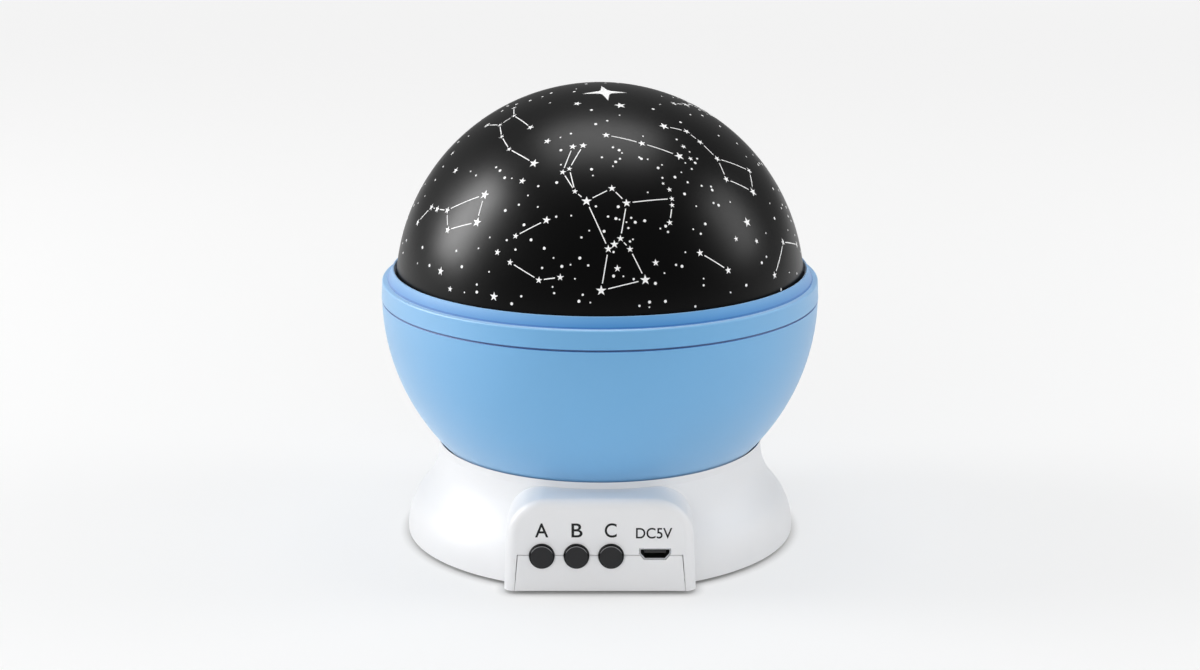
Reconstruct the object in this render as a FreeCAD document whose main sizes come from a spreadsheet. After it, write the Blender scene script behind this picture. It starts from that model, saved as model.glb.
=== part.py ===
# A table-top star projector, in millimetres. A printed dome sits in a ring on a bowl, and a motor in the
# base turns the bowl about a fixed lamp post. +Z is up, the buttons face -Y, and the origin is on the
# bowl's axis at the table.
import FreeCAD
import Part
import Sketcher
import math
import os
import re

Vector = FreeCAD.Vector
UP = Vector(0, 0, 1)

SIZES = {
    # Bowl: a sphere cut flat below and at the seam above
    "bowl_radius": 62.5,
    "bowl_lift": 8.0,
    "bowl_wall": 2.2,
    "seam_drop": 0.4,
    "seam_edge": 0.12,
    "seam_gap": 0.3,
    # Dome and the ring that holds it
    "rim_step": 3.94,
    "dome_rise": 1.85,
    "dome_wall": 1.6,
    "dome_gap": 0.24,
    "ring_proud": 0.1,
    "ring_lip_rise": 8.75,
    "ring_lip_round": 0.35,
    "ring_step_rise": 5.65,
    "ring_step_width": 1.5,
    "ring_step_round": 0.5,
    "ring_slope_run": 1.3,
    "ring_draft": 0.25,
    "ring_ledge": 1.55,
    "ring_ledge_width": 6.0,
    # Bayonet between ring and bowl
    "skirt_depth": 5.35,
    "skirt_wall": 1.5,
    "skirt_inset": 4.2,
    "lug_height": 1.7,
    "lug_reach": 1.4,
    "lug_arc": 14.0,
    "tab_height": 1.8,
    "tab_arc": 18.0,
    "bayonet_gap": 0.3,
    "stop_width": 2.0,
    "bayonet_count": 3,
    # Base housing
    "base_radius": 56.2,
    "base_edge": 1.0,
    "shoulder_height": 2.0,
    "shoulder_arc": 17.0,
    "neck_clear": 2.412,
    "neck_height": 26.5,
    "neck_flare": 0.2,
    "neck_gap": 0.4,
    "case_wall": 2.0,
    "deck_under": 20.0,
    "deck_wall": 2.0,
    "deck_lead_hole": 4.5,
    # Control box on the front of the housing
    "box_proud": 0.8,
    "box_depth": 25.0,
    "box_half_width": 26.2,
    "box_top": 26.8,
    "box_top_half_width": 25.15,
    "box_corner": 11.0,
    "box_round": 2.6,
    "notch_height": 11.4,
    "notch_half_width": 23.5,
    "notch_top_half_width": 22.55,
    "notch_gap": 0.2,
    # Buttons and their switches
    "button_first": -15.8,
    "button_pitch": 9.4,
    "button_height": 11.1,
    "button_radius": 3.42,
    "button_proud": 1.25,
    "button_round": 0.6,
    "button_gap": 0.13,
    "button_flange": 0.78,
    "button_flange_wall": 0.8,
    "button_play": 0.2,
    "button_travel": 0.5,
    "switch_width": 6.0,
    "switch_depth": 3.4,
    "plunger_radius": 1.7,
    "plunger_length": 1.8,
    "plunger_gap": 0.1,
    # Power inlet
    "socket_place": 14.95,
    "socket_height": 10.1,
    "socket_half_width": 4.25,
    "socket_foot_half_width": 3.0,
    "socket_rise": 3.1,
    "socket_slant": 1.7,
    "socket_wall": 0.3,
    "socket_recess": 0.3,
    "socket_gap": 0.1,
    "tongue_half_width": 2.9,
    "tongue_wall": 0.7,
    "tongue_drop": 0.45,
    "tongue_recess": 0.5,
    "tongue_back": 1.0,
    # Control board
    "board_wall": 1.6,
    "board_side_gap": 4.4,
    "board_foot": 4.2,
    "board_height": 15.0,
    "board_screw_inset": 2.4,
    "board_screw_height": 17.0,
    "board_boss_radius": 2.1,
    "chip_width": 8.0,
    "chip_wall": 1.2,
    "chip_place": -12.0,
    "chip_height": 9.5,
    # Bottom cover and feet
    "cover_under": 1.4,
    "cover_wall": 2.0,
    "cover_gap": 0.2,
    "foot_radius": 4.5,
    "foot_inset": 8.7,
    "foot_sink": 0.4,
    "case_screw_x": 35.0,
    "case_screw_y": 21.0,
    "case_boss_radius": 3.4,
    "case_screw_length": 10.0,
    # Battery bay
    "cell_diameter": 10.5,
    "cell_length": 44.5,
    "cell_gap": 0.4,
    "cell_count": 4,
    "nub_radius": 1.9,
    "nub_length": 1.0,
    "bay_centre": 16.0,
    "bay_wall": 1.5,
    "spring_length": 4.2,
    "spring_radius": 3.2,
    "spring_tip_radius": 2.0,
    "contact_wall": 0.4,
    "contact_half_width": 4.2,
    "contact_tail": 3.0,
    # Battery door
    "door_wall": 1.6,
    "door_rest": 0.95,
    "door_gap": 0.15,
    "tongue_width": 9.0,
    "tongue_length": 6.5,
    "hook_width": 6.0,
    "hook_place": 14.0,
    "hook_wall": 0.8,
    "hook_lift": 0.65,
    "hook_reach": 2.55,
    "door_screw_gap": 0.4,
    "door_boss_radius": 2.6,
    "door_boss_height": 4.6,
    # Motor, pinion and ring gear
    "motor_radius": 12.0,
    "motor_height": 14.5,
    "motor_ear": 17.5,
    "motor_ear_half_width": 3.5,
    "motor_plate": 0.8,
    "motor_collar_radius": 4.5,
    "motor_collar_height": 1.4,
    "terminal_width": 8.0,
    "terminal_depth": 3.0,
    "terminal_height": 4.0,
    "shaft_radius": 1.5,
    "shaft_gap": 0.05,
    "shaft_depth": 4.0,
    "gear_module": 0.75,
    "gear_teeth": 51,
    "pinion_teeth": 17,
    "gear_backlash": 0.12,
    "gear_gap": 0.9,
    "gear_width": 3.1,
    "pinion_gap": 0.4,
    "gear_bore": 12.5,
    "gear_screw_circle": 15.2,
    "motor_boss_radius": 2.4,
    "motor_boss_height": 2.6,
    # Lamp post and the bearing that the bowl turns on
    "post_radius": 6.0,
    "post_bore": 3.5,
    "flange_radius": 11.5,
    "flange_wall": 1.8,
    "post_screw_circle": 8.9,
    "washer_wall": 0.5,
    "bush_gap": 0.05,
    "bush_wall": 1.45,
    "bush_flange_radius": 9.5,
    "bush_length": 7.0,
    "clip_gap": 0.3,
    "clip_wall": 1.0,
    "clip_width": 2.5,
    "clip_groove": 0.6,
    "clip_opening": 6.0,
    "glide_circle": 38.0,
    "glide_radius": 3.0,
    "glide_gap": 0.1,
    # Lamps
    "lamp_tip_rise": 0.7,
    "lamp_radius": 2.45,
    "lamp_length": 8.9,
    "lamp_flange": 0.3,
    "lamp_flange_wall": 1.0,
    "lamp_circle": 4.2,
    "lamp_board_radius": 9.6,
    "lamp_board_wall": 1.2,
    "holder_radius": 10.5,
    "holder_wall": 2.9,
    "spigot_length": 6.0,
    "spigot_gap": 0.05,
    "lamp_screw_place": 7.4,
    # Reflector tray in the bowl
    "tray_drop": 14.1,
    "tray_wall": 1.4,
    "tray_bore": 12.0,
    "tray_gap": 0.9,
    "tray_rim": 2.1,
    "tray_collar": 3.1,
    "tray_post_circle": 30.0,
    "tray_post_radius": 3.2,
    # Screws: small ones for the inner pieces, larger ones for the case
    "small_shank": 0.88,
    "small_head": 1.6,
    "small_head_height": 1.2,
    "case_shank": 1.25,
    "case_head": 2.3,
    "case_head_height": 1.1,
    "screw_fit": 0.03,
    "screw_room": 0.2,
    "screw_boss": 2.3,
    "recess_width": 0.5,
    "recess_depth": 0.7,
    # Leads inside the base
    "lead_radius": 0.6,
    "lamp_lead_radius": 1.2,
    "lead_height": 17.8,
}

doc = FreeCAD.newDocument("star_projector")
sheet = doc.addObject("Spreadsheet::Sheet", "Sizes")
for row, (alias, value) in enumerate(SIZES.items(), start=1):
    sheet.set(f"A{row}", alias.replace("_", " "))
    sheet.set(f"B{row}", str(value))
    sheet.setAlias(f"B{row}", alias)
doc.recompute()

nodes = {}


def linked(text):
    """An expression in which each size's name points at the sheet."""
    return re.sub(r"[a-z]\w*", lambda word: f"Sizes.{word[0]}" if word[0] in SIZES else word[0], text)


def measure(text):
    """The present value of an expression."""
    return float(sheet.evalExpression(linked(text)))


def bind(made, **texts):
    """Binds properties of an object to expressions."""
    for name, text in texts.items():
        made.setExpression(name, linked(text))


def place(made, x="0", y="0", z="0"):
    """Binds the place of an object to expressions."""
    for axis, text in zip("xyz", (x, y, z)):
        made.setExpression(f"Placement.Base.{axis}", linked(text))


def node(label, made):
    """Names a finished sub-part, which is written under that name."""
    made.Label = label
    nodes[label] = made
    return made


def cut_radius(radius, centre, height):
    """The radius at a height of a sphere whose centre is on the axis."""
    return f"sqrt(({radius})^2 - ({height} - {centre})^2)"


# Heights and radii that several pieces share
BOWL_CENTRE = "(bowl_radius + bowl_lift)"
NECK_RADIUS = f"({cut_radius('bowl_radius', BOWL_CENTRE, 'neck_height')} + neck_clear)"
BOARD_HALF = "(box_half_width - board_side_gap)"
BOARD_SCREW_X = f"({BOARD_HALF} - board_screw_inset)"
DECK_TOP = "(deck_under + deck_wall)"
BOWL_FLOOR = f"({DECK_TOP} + gear_gap + gear_width)"
FLOOR_TOP = f"({BOWL_FLOOR} + bowl_wall)"
BOWL_INSIDE = "(bowl_radius - bowl_wall)"
SEAM = f"({BOWL_CENTRE} - seam_drop)"
DOME_RADIUS = "(bowl_radius - rim_step)"
DOME_CENTRE = f"({BOWL_CENTRE} + dome_rise)"
RING_FOOT = f"({SEAM} + seam_gap)"
LEDGE_TOP = f"({RING_FOOT} + ring_ledge)"
SKIRT_RADIUS = "(bowl_radius - skirt_inset)"
LUG_RADIUS = f"({SKIRT_RADIUS} + lug_reach)"
LUG_TOP = f"({RING_FOOT} - skirt_depth + lug_height)"
TAB_FOOT = f"({LUG_TOP} + bayonet_gap)"
NECK_INSIDE = f"({NECK_RADIUS} - case_wall)"
BOX_FRONT = "(base_radius + box_proud)"
WALL_BACK = f"({BOX_FRONT} - case_wall)"
COVER_TOP = "(cover_under + cover_wall)"
COVER_RADIUS = "(base_radius - case_wall - cover_gap)"
BUTTON_HOLE = "(button_radius + button_gap)"
FLANGE_FRONT = f"({WALL_BACK} - button_play)"
FLANGE_BACK = f"({FLANGE_FRONT} - button_flange_wall)"
SWITCH_FRONT = f"({FLANGE_BACK} - button_travel - button_play - button_play)"
BOARD_FRONT = f"({SWITCH_FRONT} - switch_depth)"
BOARD_BACK = f"({BOARD_FRONT} - board_wall)"
MOTOR_PLACE = "(gear_module * (gear_teeth + pinion_teeth) / 2)"
MOTOR_TOP = "deck_under"
FLANGE_TOP = f"({DECK_TOP} + flange_wall)"
BUSH_FOOT = f"({FLANGE_TOP} + washer_wall)"
BUSH_RADIUS = "(post_radius + bush_gap + bush_wall)"
BUSH_TOP = f"({BOWL_FLOOR} + bush_length)"
CLIP_FOOT = f"({BUSH_TOP} + clip_gap)"
LAMP_FOOT = f"({DOME_CENTRE} + lamp_tip_rise - lamp_length)"
HOLDER_TOP = f"({LAMP_FOOT} - lamp_board_wall)"
POST_TOP = f"({HOLDER_TOP} - holder_wall)"
TRAY_FOOT = f"({SEAM} - tray_drop)"
TRAY_TOP = f"({TRAY_FOOT} + tray_wall)"
TRAY_RADIUS = f"({cut_radius(BOWL_INSIDE, BOWL_CENTRE, TRAY_FOOT)} - tray_gap)"
SHANK_HOLE = "(small_shank + screw_fit)"
SHANK_ROOM = "(small_shank + screw_room)"
HEAD_ROOM = "(small_head + screw_room)"
CELL_PITCH = "(cell_diameter + cell_gap)"
BAY_HALF_LENGTH = "((cell_length + spring_length) / 2 + contact_wall)"
BAY_HALF_WIDTH = f"(({CELL_PITCH} * cell_count + cell_gap) / 2)"
DOOR_TOP = "(cover_under + door_wall)"
CELL_HEIGHT = f"({DOOR_TOP} + cell_gap + cell_diameter / 2)"
BAY_ROOF = f"({CELL_HEIGHT} + cell_diameter / 2 + cell_gap / 2)"
BAY_TOP = f"({BAY_ROOF} + bay_wall)"
RECESS_BACK = f"(bay_centre + {BAY_HALF_WIDTH} + door_rest)"
RECESS_FRONT = f"(bay_centre - {BAY_HALF_WIDTH} - door_rest)"
RECESS_HALF_LENGTH = f"({BAY_HALF_LENGTH} + door_rest)"
DOOR_SCREW_Y = f"({RECESS_FRONT} - tongue_length + tongue_width / 3)"


def attach(body, name, plane, level="0"):
    """A sketch on one of the body's own planes, moved along the plane's normal."""
    sketch = body.newObject("Sketcher::SketchObject", name)
    support = next(item for item in body.Origin.OriginFeatures if item.Role == plane)
    sketch.AttachmentSupport = (support, "")
    sketch.MapMode = "FlatFace"
    sketch.setExpression("AttachmentOffset.Base.z", linked(level))
    return sketch


def pin(sketch, geometry, point, x, y):
    """Holds a point of a sketch at x, y."""
    for kind, axis, text in (("DistanceX", -2, x), ("DistanceY", -1, y)):
        if text == "0":
            sketch.addConstraint(Sketcher.Constraint("PointOnObject", geometry, point, axis))
        else:
            hold = Sketcher.Constraint(kind, -1, 1, geometry, point, measure(text))
            index = sketch.addConstraint(hold)
            sketch.setExpression(f"Constraints[{index}]", linked(text))


def outline(sketch, corners):
    """A closed outline through corners (x, y). With (x, y, radius, side) an arc leaves the corner, whose
    centre lies on that side of the way to the next corner."""
    ends = []
    for number, corner in enumerate(corners):
        after = corners[(number + 1) % len(corners)]
        start = Vector(measure(corner[0]), measure(corner[1]))
        stop = Vector(measure(after[0]), measure(after[1]))
        if len(corner) == 2:
            ends.append((sketch.addGeometry(Part.LineSegment(start, stop)), 1, 2))
            continue
        radius = measure(corner[2])
        side = 1 if corner[3] == "left" else -1
        way = stop - start
        reach = math.sqrt(max(radius ** 2 - (way.Length / 2) ** 2, 0)) * side
        centre = (start + stop) / 2 + Vector(-way.y, way.x).normalize() * reach
        first, last = (start, stop) if side == 1 else (stop, start)
        angles = [math.atan2(point.y - centre.y, point.x - centre.x) for point in (first, last)]
        if angles[1] < angles[0]:
            angles[1] += 2 * math.pi
        arc = Part.ArcOfCircle(Part.Circle(centre, UP, radius), *angles)
        geometry = sketch.addGeometry(arc)
        index = sketch.addConstraint(Sketcher.Constraint("Radius", geometry, radius))
        sketch.setExpression(f"Constraints[{index}]", linked(corner[2]))
        ends.append((geometry, 1, 2) if side == 1 else (geometry, 2, 1))
    for number, (geometry, start, stop) in enumerate(ends):
        after, after_start, _ = ends[(number + 1) % len(ends)]
        sketch.addConstraint(Sketcher.Constraint("Coincident", geometry, stop, after, after_start))
        pin(sketch, geometry, start, corners[number][0], corners[number][1])


def rectangle(sketch, left, right, bottom, top):
    """An upright rectangle."""
    outline(sketch, [(left, bottom), (right, bottom), (right, top), (left, top)])


def circle(sketch, radius, x="0", y="0"):
    """A circle about x, y."""
    round_line = Part.Circle(Vector(measure(x), measure(y)), UP, measure(radius))
    geometry = sketch.addGeometry(round_line)
    pin(sketch, geometry, 3, x, y)
    index = sketch.addConstraint(Sketcher.Constraint("Radius", geometry, measure(radius)))
    sketch.setExpression(f"Constraints[{index}]", linked(radius))


def turned(label, corners):
    """A body turned about its Z axis from an outline of (radius, height)."""
    body = doc.addObject("PartDesign::Body", label)
    sketch = attach(body, label + "_section", "XZ_Plane")
    outline(sketch, corners)
    turn = body.newObject("PartDesign::Revolution", label + "_turn")
    turn.Profile = sketch
    turn.ReferenceAxis = (sketch, ["V_Axis"])
    turn.Angle = 360
    return body


def groove(body, name, corners):
    """Cuts an outline of (radius, height) right round the body's Z axis."""
    sketch = attach(body, name + "_section", "XZ_Plane")
    outline(sketch, corners)
    cut = body.newObject("PartDesign::Groove", name)
    cut.Profile = sketch
    cut.ReferenceAxis = (sketch, ["V_Axis"])
    cut.Angle = 360
    return cut


def arc_piece(body, name, corners, angle):
    """Adds an outline of (radius, height) turned through part of a circle, centred on +X."""
    sketch = attach(body, name + "_section", "XZ_Plane")
    outline(sketch, corners)
    turn = body.newObject("PartDesign::Revolution", name)
    turn.Profile = sketch
    turn.ReferenceAxis = (sketch, ["V_Axis"])
    turn.Midplane = True
    bind(turn, Angle=angle)
    return turn


def round_copies(body, name, originals, count):
    """Repeats features evenly round the body's Z axis."""
    pattern = body.newObject("PartDesign::PolarPattern", name)
    pattern.Originals = originals
    axis = next(item for item in body.Origin.OriginFeatures if item.Role == "Z_Axis")
    pattern.Axis = (axis, [""])
    pattern.Angle = 360
    bind(pattern, Occurrences=count)
    body.Tip = pattern
    return pattern


def raise_from(body, sketch, length, against=False):
    """Pads a sketch along its normal, or against it."""
    pad = body.newObject("PartDesign::Pad", sketch.Name + "_pad")
    pad.Profile = sketch
    pad.Reversed = against
    bind(pad, Length=length)
    return pad


def cut_into(body, sketch, length, along=False):
    """Pockets a sketch against its normal, or along it."""
    pocket = body.newObject("PartDesign::Pocket", sketch.Name + "_pocket")
    pocket.Profile = sketch
    pocket.Reversed = along
    bind(pocket, Length=length)
    return pocket


def edges_where(feature, wanted):
    """The names of a feature's edges that pass a test."""
    doc.recompute()
    return [f"Edge{n}" for n, edge in enumerate(feature.Shape.Edges, start=1) if wanted(edge)]


def rounded(body, feature, wanted, radius):
    """Fillets the edges of a feature that pass a test."""
    fillet = body.newObject("PartDesign::Fillet", feature.Name + "_round")
    fillet.Base = (feature, edges_where(feature, wanted))
    bind(fillet, Radius=radius)
    return fillet


def ring_places(circle_radius, count, first):
    """Places evenly round the axis, as expressions, from a first angle in degrees."""
    angles = [first + 360 * number / count for number in range(count)]
    return [(f"{circle_radius} * cos({angle})", f"{circle_radius} * sin({angle})") for angle in angles]


def solid(kind, name, **texts):
    """One of the Part primitives, bound to expressions."""
    made = doc.addObject(f"Part::{kind}", name)
    bind(made, **texts)
    return made


def block(name, left, right, front, back, foot, top):
    """A box between two corners."""
    made = solid(
        "Box", name, Length=f"({right}) - ({left})", Width=f"({back}) - ({front})", Height=f"({top}) - ({foot})"
    )
    place(made, left, front, foot)
    return made


def rod(name, radius, height, x="0", y="0", z="0", tilt=0):
    """A cylinder that stands on x, y, z. Tilt turns it about X, in degrees."""
    made = solid("Cylinder", name, Radius=radius, Height=height)
    made.Placement.Rotation = FreeCAD.Rotation(Vector(1, 0, 0), tilt)
    place(made, x, y, z)
    return made


def fused(name, pieces):
    """One solid of several."""
    made = doc.addObject("Part::MultiFuse", name)
    made.Shapes = pieces
    return made


def less(name, base, tool):
    """A solid without another."""
    made = doc.addObject("Part::Cut", name)
    made.Base = base
    made.Tool = tool
    return made


def group(label, pieces):
    """Separate solids under one name."""
    made = doc.addObject("Part::Compound", label)
    made.Links = pieces
    return node(label, made)


def screw(name, size, length):
    """A screw with a cross recess: the head stands on the origin and the shank hangs below it."""
    head, shank, rise = f"{size}_head", f"{size}_shank", f"{size}_head_height"
    body = turned(name, [("0", rise), ("0", f"-({length})"), (shank, f"-({length})"), (shank, "0"),
                         (head, "0"), (head, f"{rise} * 0.6"), (f"{head} * 0.7", rise)])
    for number, (x, y) in enumerate(((f"{head} * 0.6", "recess_width / 2"), ("recess_width / 2", f"{head} * 0.6"))):
        sketch = attach(body, f"{name}_recess_{number}", "XY_Plane", rise)
        rectangle(sketch, f"-({x})", x, f"-({y})", y)
        cut_into(body, sketch, "recess_depth")
    return body


def copies(label, master, places, tilt=0):
    """A node of the same piece at several places, turned about X."""
    links = []
    for number, spot in enumerate(places):
        link = doc.addObject("App::Link", f"{label}_{number}")
        link.LinkedObject = master
        link.Placement.Rotation = FreeCAD.Rotation(Vector(1, 0, 0), tilt)
        place(link, *spot)
        links.append(link)
    return group(label, links)


# Screws of the two sizes, in the lengths that the joints need
case_screw = screw("case_screw", "case", "case_screw_length")
deck_screw = screw("deck_screw", "small", "flange_wall - small_head_height + deck_wall + 2.5")
ear_screw = screw("ear_screw", "small", "motor_plate + deck_wall + 2")
board_screw = screw("board_screw", "small", "board_wall + 4")
gear_screw = screw("gear_screw", "small", "gear_width - small_head_height + bowl_wall + 2")
tray_screw = screw("tray_screw", "small", "tray_wall + 6")
dome_screw = screw("dome_screw", "small", "ring_ledge + 3.5")
lamp_screw = screw("lamp_screw", "small", "lamp_board_wall + 2.4")

# Base housing: an S-shaped shell with a deck, whose lip follows the bowl
S_STEP = f"(base_radius - {NECK_RADIUS})"
S_RISE = "(neck_height - shoulder_height)"
S_SUM = f"(({S_STEP}^2 + {S_RISE}^2) / (2 * {S_STEP}))"
FLARE_ARC = f"({S_SUM} - shoulder_arc)"
SHOULDER_X = "(base_radius - shoulder_arc)"


def turn_point(arc):
    """Where the two arcs of the S meet, for a shoulder arc of that radius about the same centre."""
    across = f"({NECK_RADIUS} + {FLARE_ARC} - {SHOULDER_X})"
    return f"{SHOULDER_X} + {across} * ({arc}) / {S_SUM}", f"shoulder_height + {S_RISE} * ({arc}) / {S_SUM}"


RUN_RADIUS = "(bowl_radius + neck_gap)"
LIP_RADIUS = f"({NECK_RADIUS} + neck_flare)"
LIP_TOP = f"({BOWL_CENTRE} - sqrt({RUN_RADIUS}^2 - {LIP_RADIUS}^2))"
LIP_INSIDE = f"({BOWL_CENTRE} - sqrt({RUN_RADIUS}^2 - {NECK_INSIDE}^2))"
DECK_REACH = f"sqrt(({FLARE_ARC} + case_wall)^2 - (neck_height - deck_under)^2)"
DECK_INSIDE = f"({NECK_RADIUS} + {FLARE_ARC} - {DECK_REACH})"

housing = turned("base_housing", [
    ("0", "base_edge"),
    ("base_radius", "base_edge"),
    ("base_radius", "shoulder_height", "shoulder_arc", "left"),
    (*turn_point("shoulder_arc"), FLARE_ARC, "right"),
    (NECK_RADIUS, "neck_height"),
    (LIP_RADIUS, LIP_TOP),
    ("0", LIP_TOP),
])
BOX_SLOPE = "((box_half_width - box_top_half_width) / (box_top - base_edge))"
BOX_SIDE_TOP = "(box_top - box_corner)"
BOX_SIDE_X = f"(box_half_width - {BOX_SLOPE} * ({BOX_SIDE_TOP} - base_edge))"
BOX_CORNER_X = f"({BOX_SIDE_X} - box_corner)"
sketch = attach(housing, "box_outline", "XZ_Plane", BOX_FRONT)
outline(sketch, [
    ("-box_half_width", "base_edge"),
    ("box_half_width", "base_edge"),
    (BOX_SIDE_X, BOX_SIDE_TOP, "box_corner", "left"),
    (BOX_CORNER_X, "box_top"),
    (f"-{BOX_CORNER_X}", "box_top", "box_corner", "left"),
    (f"-{BOX_SIDE_X}", BOX_SIDE_TOP),
])
box = raise_from(housing, sketch, "box_depth", against=True)
doc.recompute()
front_y = -measure(BOX_FRONT)
foot_z = measure("base_edge")


def front_edge(edge):
    """Whether an edge runs round the front of the control box, above its foot."""
    return (
        all(abs(vertex.Point.y - front_y) < 1e-4 for vertex in edge.Vertexes)
        and edge.BoundBox.ZMax > foot_z + 0.1
        and edge.BoundBox.YLength < 1e-4
    )


rounded(housing, box, front_edge, "box_round")
groove(housing, "bowl_room", [
    ("0", DECK_TOP),
    (NECK_INSIDE, DECK_TOP),
    (NECK_INSIDE, LIP_INSIDE, RUN_RADIUS, "left"),
    (LIP_RADIUS, LIP_TOP),
    (f"{LIP_RADIUS} + 1", f"{LIP_TOP} + 1"),
    ("0", f"{LIP_TOP} + 1"),
])
groove(housing, "housing_hollow", [
    ("0", "base_edge - 1"),
    ("base_radius - case_wall", "base_edge - 1"),
    ("base_radius - case_wall", "shoulder_height", "shoulder_arc - case_wall", "left"),
    (*turn_point("shoulder_arc - case_wall"), f"{FLARE_ARC} + case_wall", "right"),
    (DECK_INSIDE, "deck_under"),
    ("0", "deck_under"),
])
INNER_HALF = "(box_half_width - case_wall)"
INNER_TOP_HALF = f"(box_half_width - {BOX_SLOPE} * (deck_under - base_edge) - case_wall - 0.6)"
sketch = attach(housing, "box_hollow", "XZ_Plane", WALL_BACK)
outline(sketch, [
    (f"-{INNER_HALF}", "base_edge - 1"),
    (INNER_HALF, "base_edge - 1"),
    (INNER_TOP_HALF, "deck_under"),
    (f"-{INNER_TOP_HALF}", "deck_under"),
])
cut_into(housing, sketch, f"{WALL_BACK} - {NECK_RADIUS} + box_corner")
sketch = attach(housing, "box_head", "XZ_Plane", WALL_BACK)
HEAD_HALF = f"({BOX_CORNER_X} + 2)"
rectangle(sketch, f"-{HEAD_HALF}", HEAD_HALF, "deck_under - 1", "box_top - case_wall")
cut_into(housing, sketch, f"{WALL_BACK} - {NECK_RADIUS} - case_wall")
sketch = attach(housing, "notch", "XZ_Plane", f"{BOX_FRONT} + 1")
outline(sketch, [
    ("-notch_half_width", "base_edge - 1"),
    ("notch_half_width", "base_edge - 1"),
    ("notch_top_half_width", "notch_height"),
    ("-notch_top_half_width", "notch_height"),
])
cut_into(housing, sketch, "case_wall + 2")

# Posts for the case screws, the lamp post, the motor and the control board
CASE_PLACES = [(f"{a}case_screw_x", f"{b}case_screw_y") for a in ("", "-") for b in ("", "-")]
POST_SCREWS = ring_places("post_screw_circle", 3, 30)
MOTOR_SCREWS = [("motor_ear", f"-{MOTOR_PLACE}"), ("-motor_ear", f"-{MOTOR_PLACE}")]
BOARD_SCREWS = [(BOARD_SCREW_X, "board_screw_height"), (f"-{BOARD_SCREW_X}", "board_screw_height")]
sketch = attach(housing, "case_bosses", "XY_Plane", COVER_TOP)
for x, y in CASE_PLACES:
    circle(sketch, "case_boss_radius", x, y)
raise_from(housing, sketch, f"deck_under - {COVER_TOP} + 0.5")
sketch = attach(housing, "case_holes", "XY_Plane", COVER_TOP)
for x, y in CASE_PLACES:
    circle(sketch, "case_shank + screw_fit", x, y)
cut_into(housing, sketch, "case_screw_length + 1", along=True)
sketch = attach(housing, "post_bosses", "XY_Plane", "deck_under - 3")
for x, y in POST_SCREWS:
    circle(sketch, "screw_boss", x, y)
raise_from(housing, sketch, "3.5")
sketch = attach(housing, "motor_bosses", "XY_Plane", f"{DECK_TOP} - 0.5")
for x, y in MOTOR_SCREWS:
    circle(sketch, "motor_boss_radius", x, y)
raise_from(housing, sketch, "motor_boss_height + 0.5")
sketch = attach(housing, "deck_holes", "XY_Plane", f"{DECK_TOP} + 1")
for x, y in POST_SCREWS:
    circle(sketch, SHANK_HOLE, x, y)
circle(sketch, "deck_lead_hole")
circle(sketch, "motor_collar_radius + screw_room", "0", f"-{MOTOR_PLACE}")
cut_into(housing, sketch, "deck_wall + 5")
sketch = attach(housing, "motor_holes", "XY_Plane", "deck_under - 1")
for x, y in MOTOR_SCREWS:
    circle(sketch, SHANK_HOLE, x, y)
cut_into(housing, sketch, "deck_wall + motor_boss_height + 0.4", along=True)
sketch = attach(housing, "board_bosses", "XZ_Plane", BOARD_FRONT)
for x, z in BOARD_SCREWS:
    circle(sketch, "board_boss_radius", x, z)
raise_from(housing, sketch, f"{WALL_BACK} - {BOARD_FRONT} + 0.3")
sketch = attach(housing, "board_holes", "XZ_Plane", BOARD_FRONT)
for x, z in BOARD_SCREWS:
    circle(sketch, SHANK_HOLE, x, z)
cut_into(housing, sketch, "5", along=True)
BUTTON_PLACES = [f"(button_first + button_pitch * {number})" for number in range(3)]
SOCKET_TOP = "(socket_height + socket_rise)"


def socket_corners(room):
    """The power inlet's outline, wider at the top, with room all round."""
    half, foot_half = f"(socket_half_width + {room})", f"(socket_foot_half_width + {room})"
    slant = "socket_height + socket_slant"
    return [
        (f"socket_place - {foot_half}", f"socket_height - {room}"),
        (f"socket_place + {foot_half}", f"socket_height - {room}"),
        (f"socket_place + {half}", slant),
        (f"socket_place + {half}", f"{SOCKET_TOP} + {room}"),
        (f"socket_place - {half}", f"{SOCKET_TOP} + {room}"),
        (f"socket_place - {half}", slant),
    ]


def front_holes(body):
    """Cuts the holes of the buttons and the power inlet through a front wall."""
    holes = attach(body, body.Name + "_button_holes", "XZ_Plane", f"{BOX_FRONT} + 1")
    for x in BUTTON_PLACES:
        circle(holes, BUTTON_HOLE, x, "button_height")
    cut_into(body, holes, "case_wall + 2")
    inlet = attach(body, body.Name + "_inlet_hole", "XZ_Plane", f"{BOX_FRONT} + 1")
    outline(inlet, socket_corners("socket_gap"))
    cut_into(body, inlet, "case_wall + 2")


front_holes(housing)
node("base_housing", housing)

# Bottom cover: a plate with the tab that closes the notch, the battery bay and the door's seat
cover = doc.addObject("PartDesign::Body", "bottom_cover")
sketch = attach(cover, "cover_plate", "XY_Plane", "cover_under")
circle(sketch, COVER_RADIUS)
raise_from(cover, sketch, "cover_wall")
TAB_HALF = "(notch_half_width - notch_gap)"
TAB_TOP_HALF = "(notch_top_half_width - notch_gap)"
TAB_TOP = "(notch_height - notch_gap)"
sketch = attach(cover, "cover_apron", "XY_Plane", "cover_under")
rectangle(sketch, f"-({TAB_HALF} - 0.5)", f"{TAB_HALF} - 0.5", f"-({BOX_FRONT} - 0.5)", f"-({COVER_RADIUS} - 12)")
raise_from(cover, sketch, "cover_wall")
sketch = attach(cover, "cover_tab", "XZ_Plane", BOX_FRONT)
outline(sketch, [
    (f"-{TAB_HALF}", "base_edge"),
    (TAB_HALF, "base_edge"),
    (TAB_TOP_HALF, TAB_TOP),
    (f"-{TAB_TOP_HALF}", TAB_TOP),
])
raise_from(cover, sketch, "case_wall", against=True)
front_holes(cover)
sketch = attach(cover, "bay_block", "XY_Plane", "cover_under")
BAY_OUT_X = f"({BAY_HALF_LENGTH} + bay_wall)"
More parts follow.
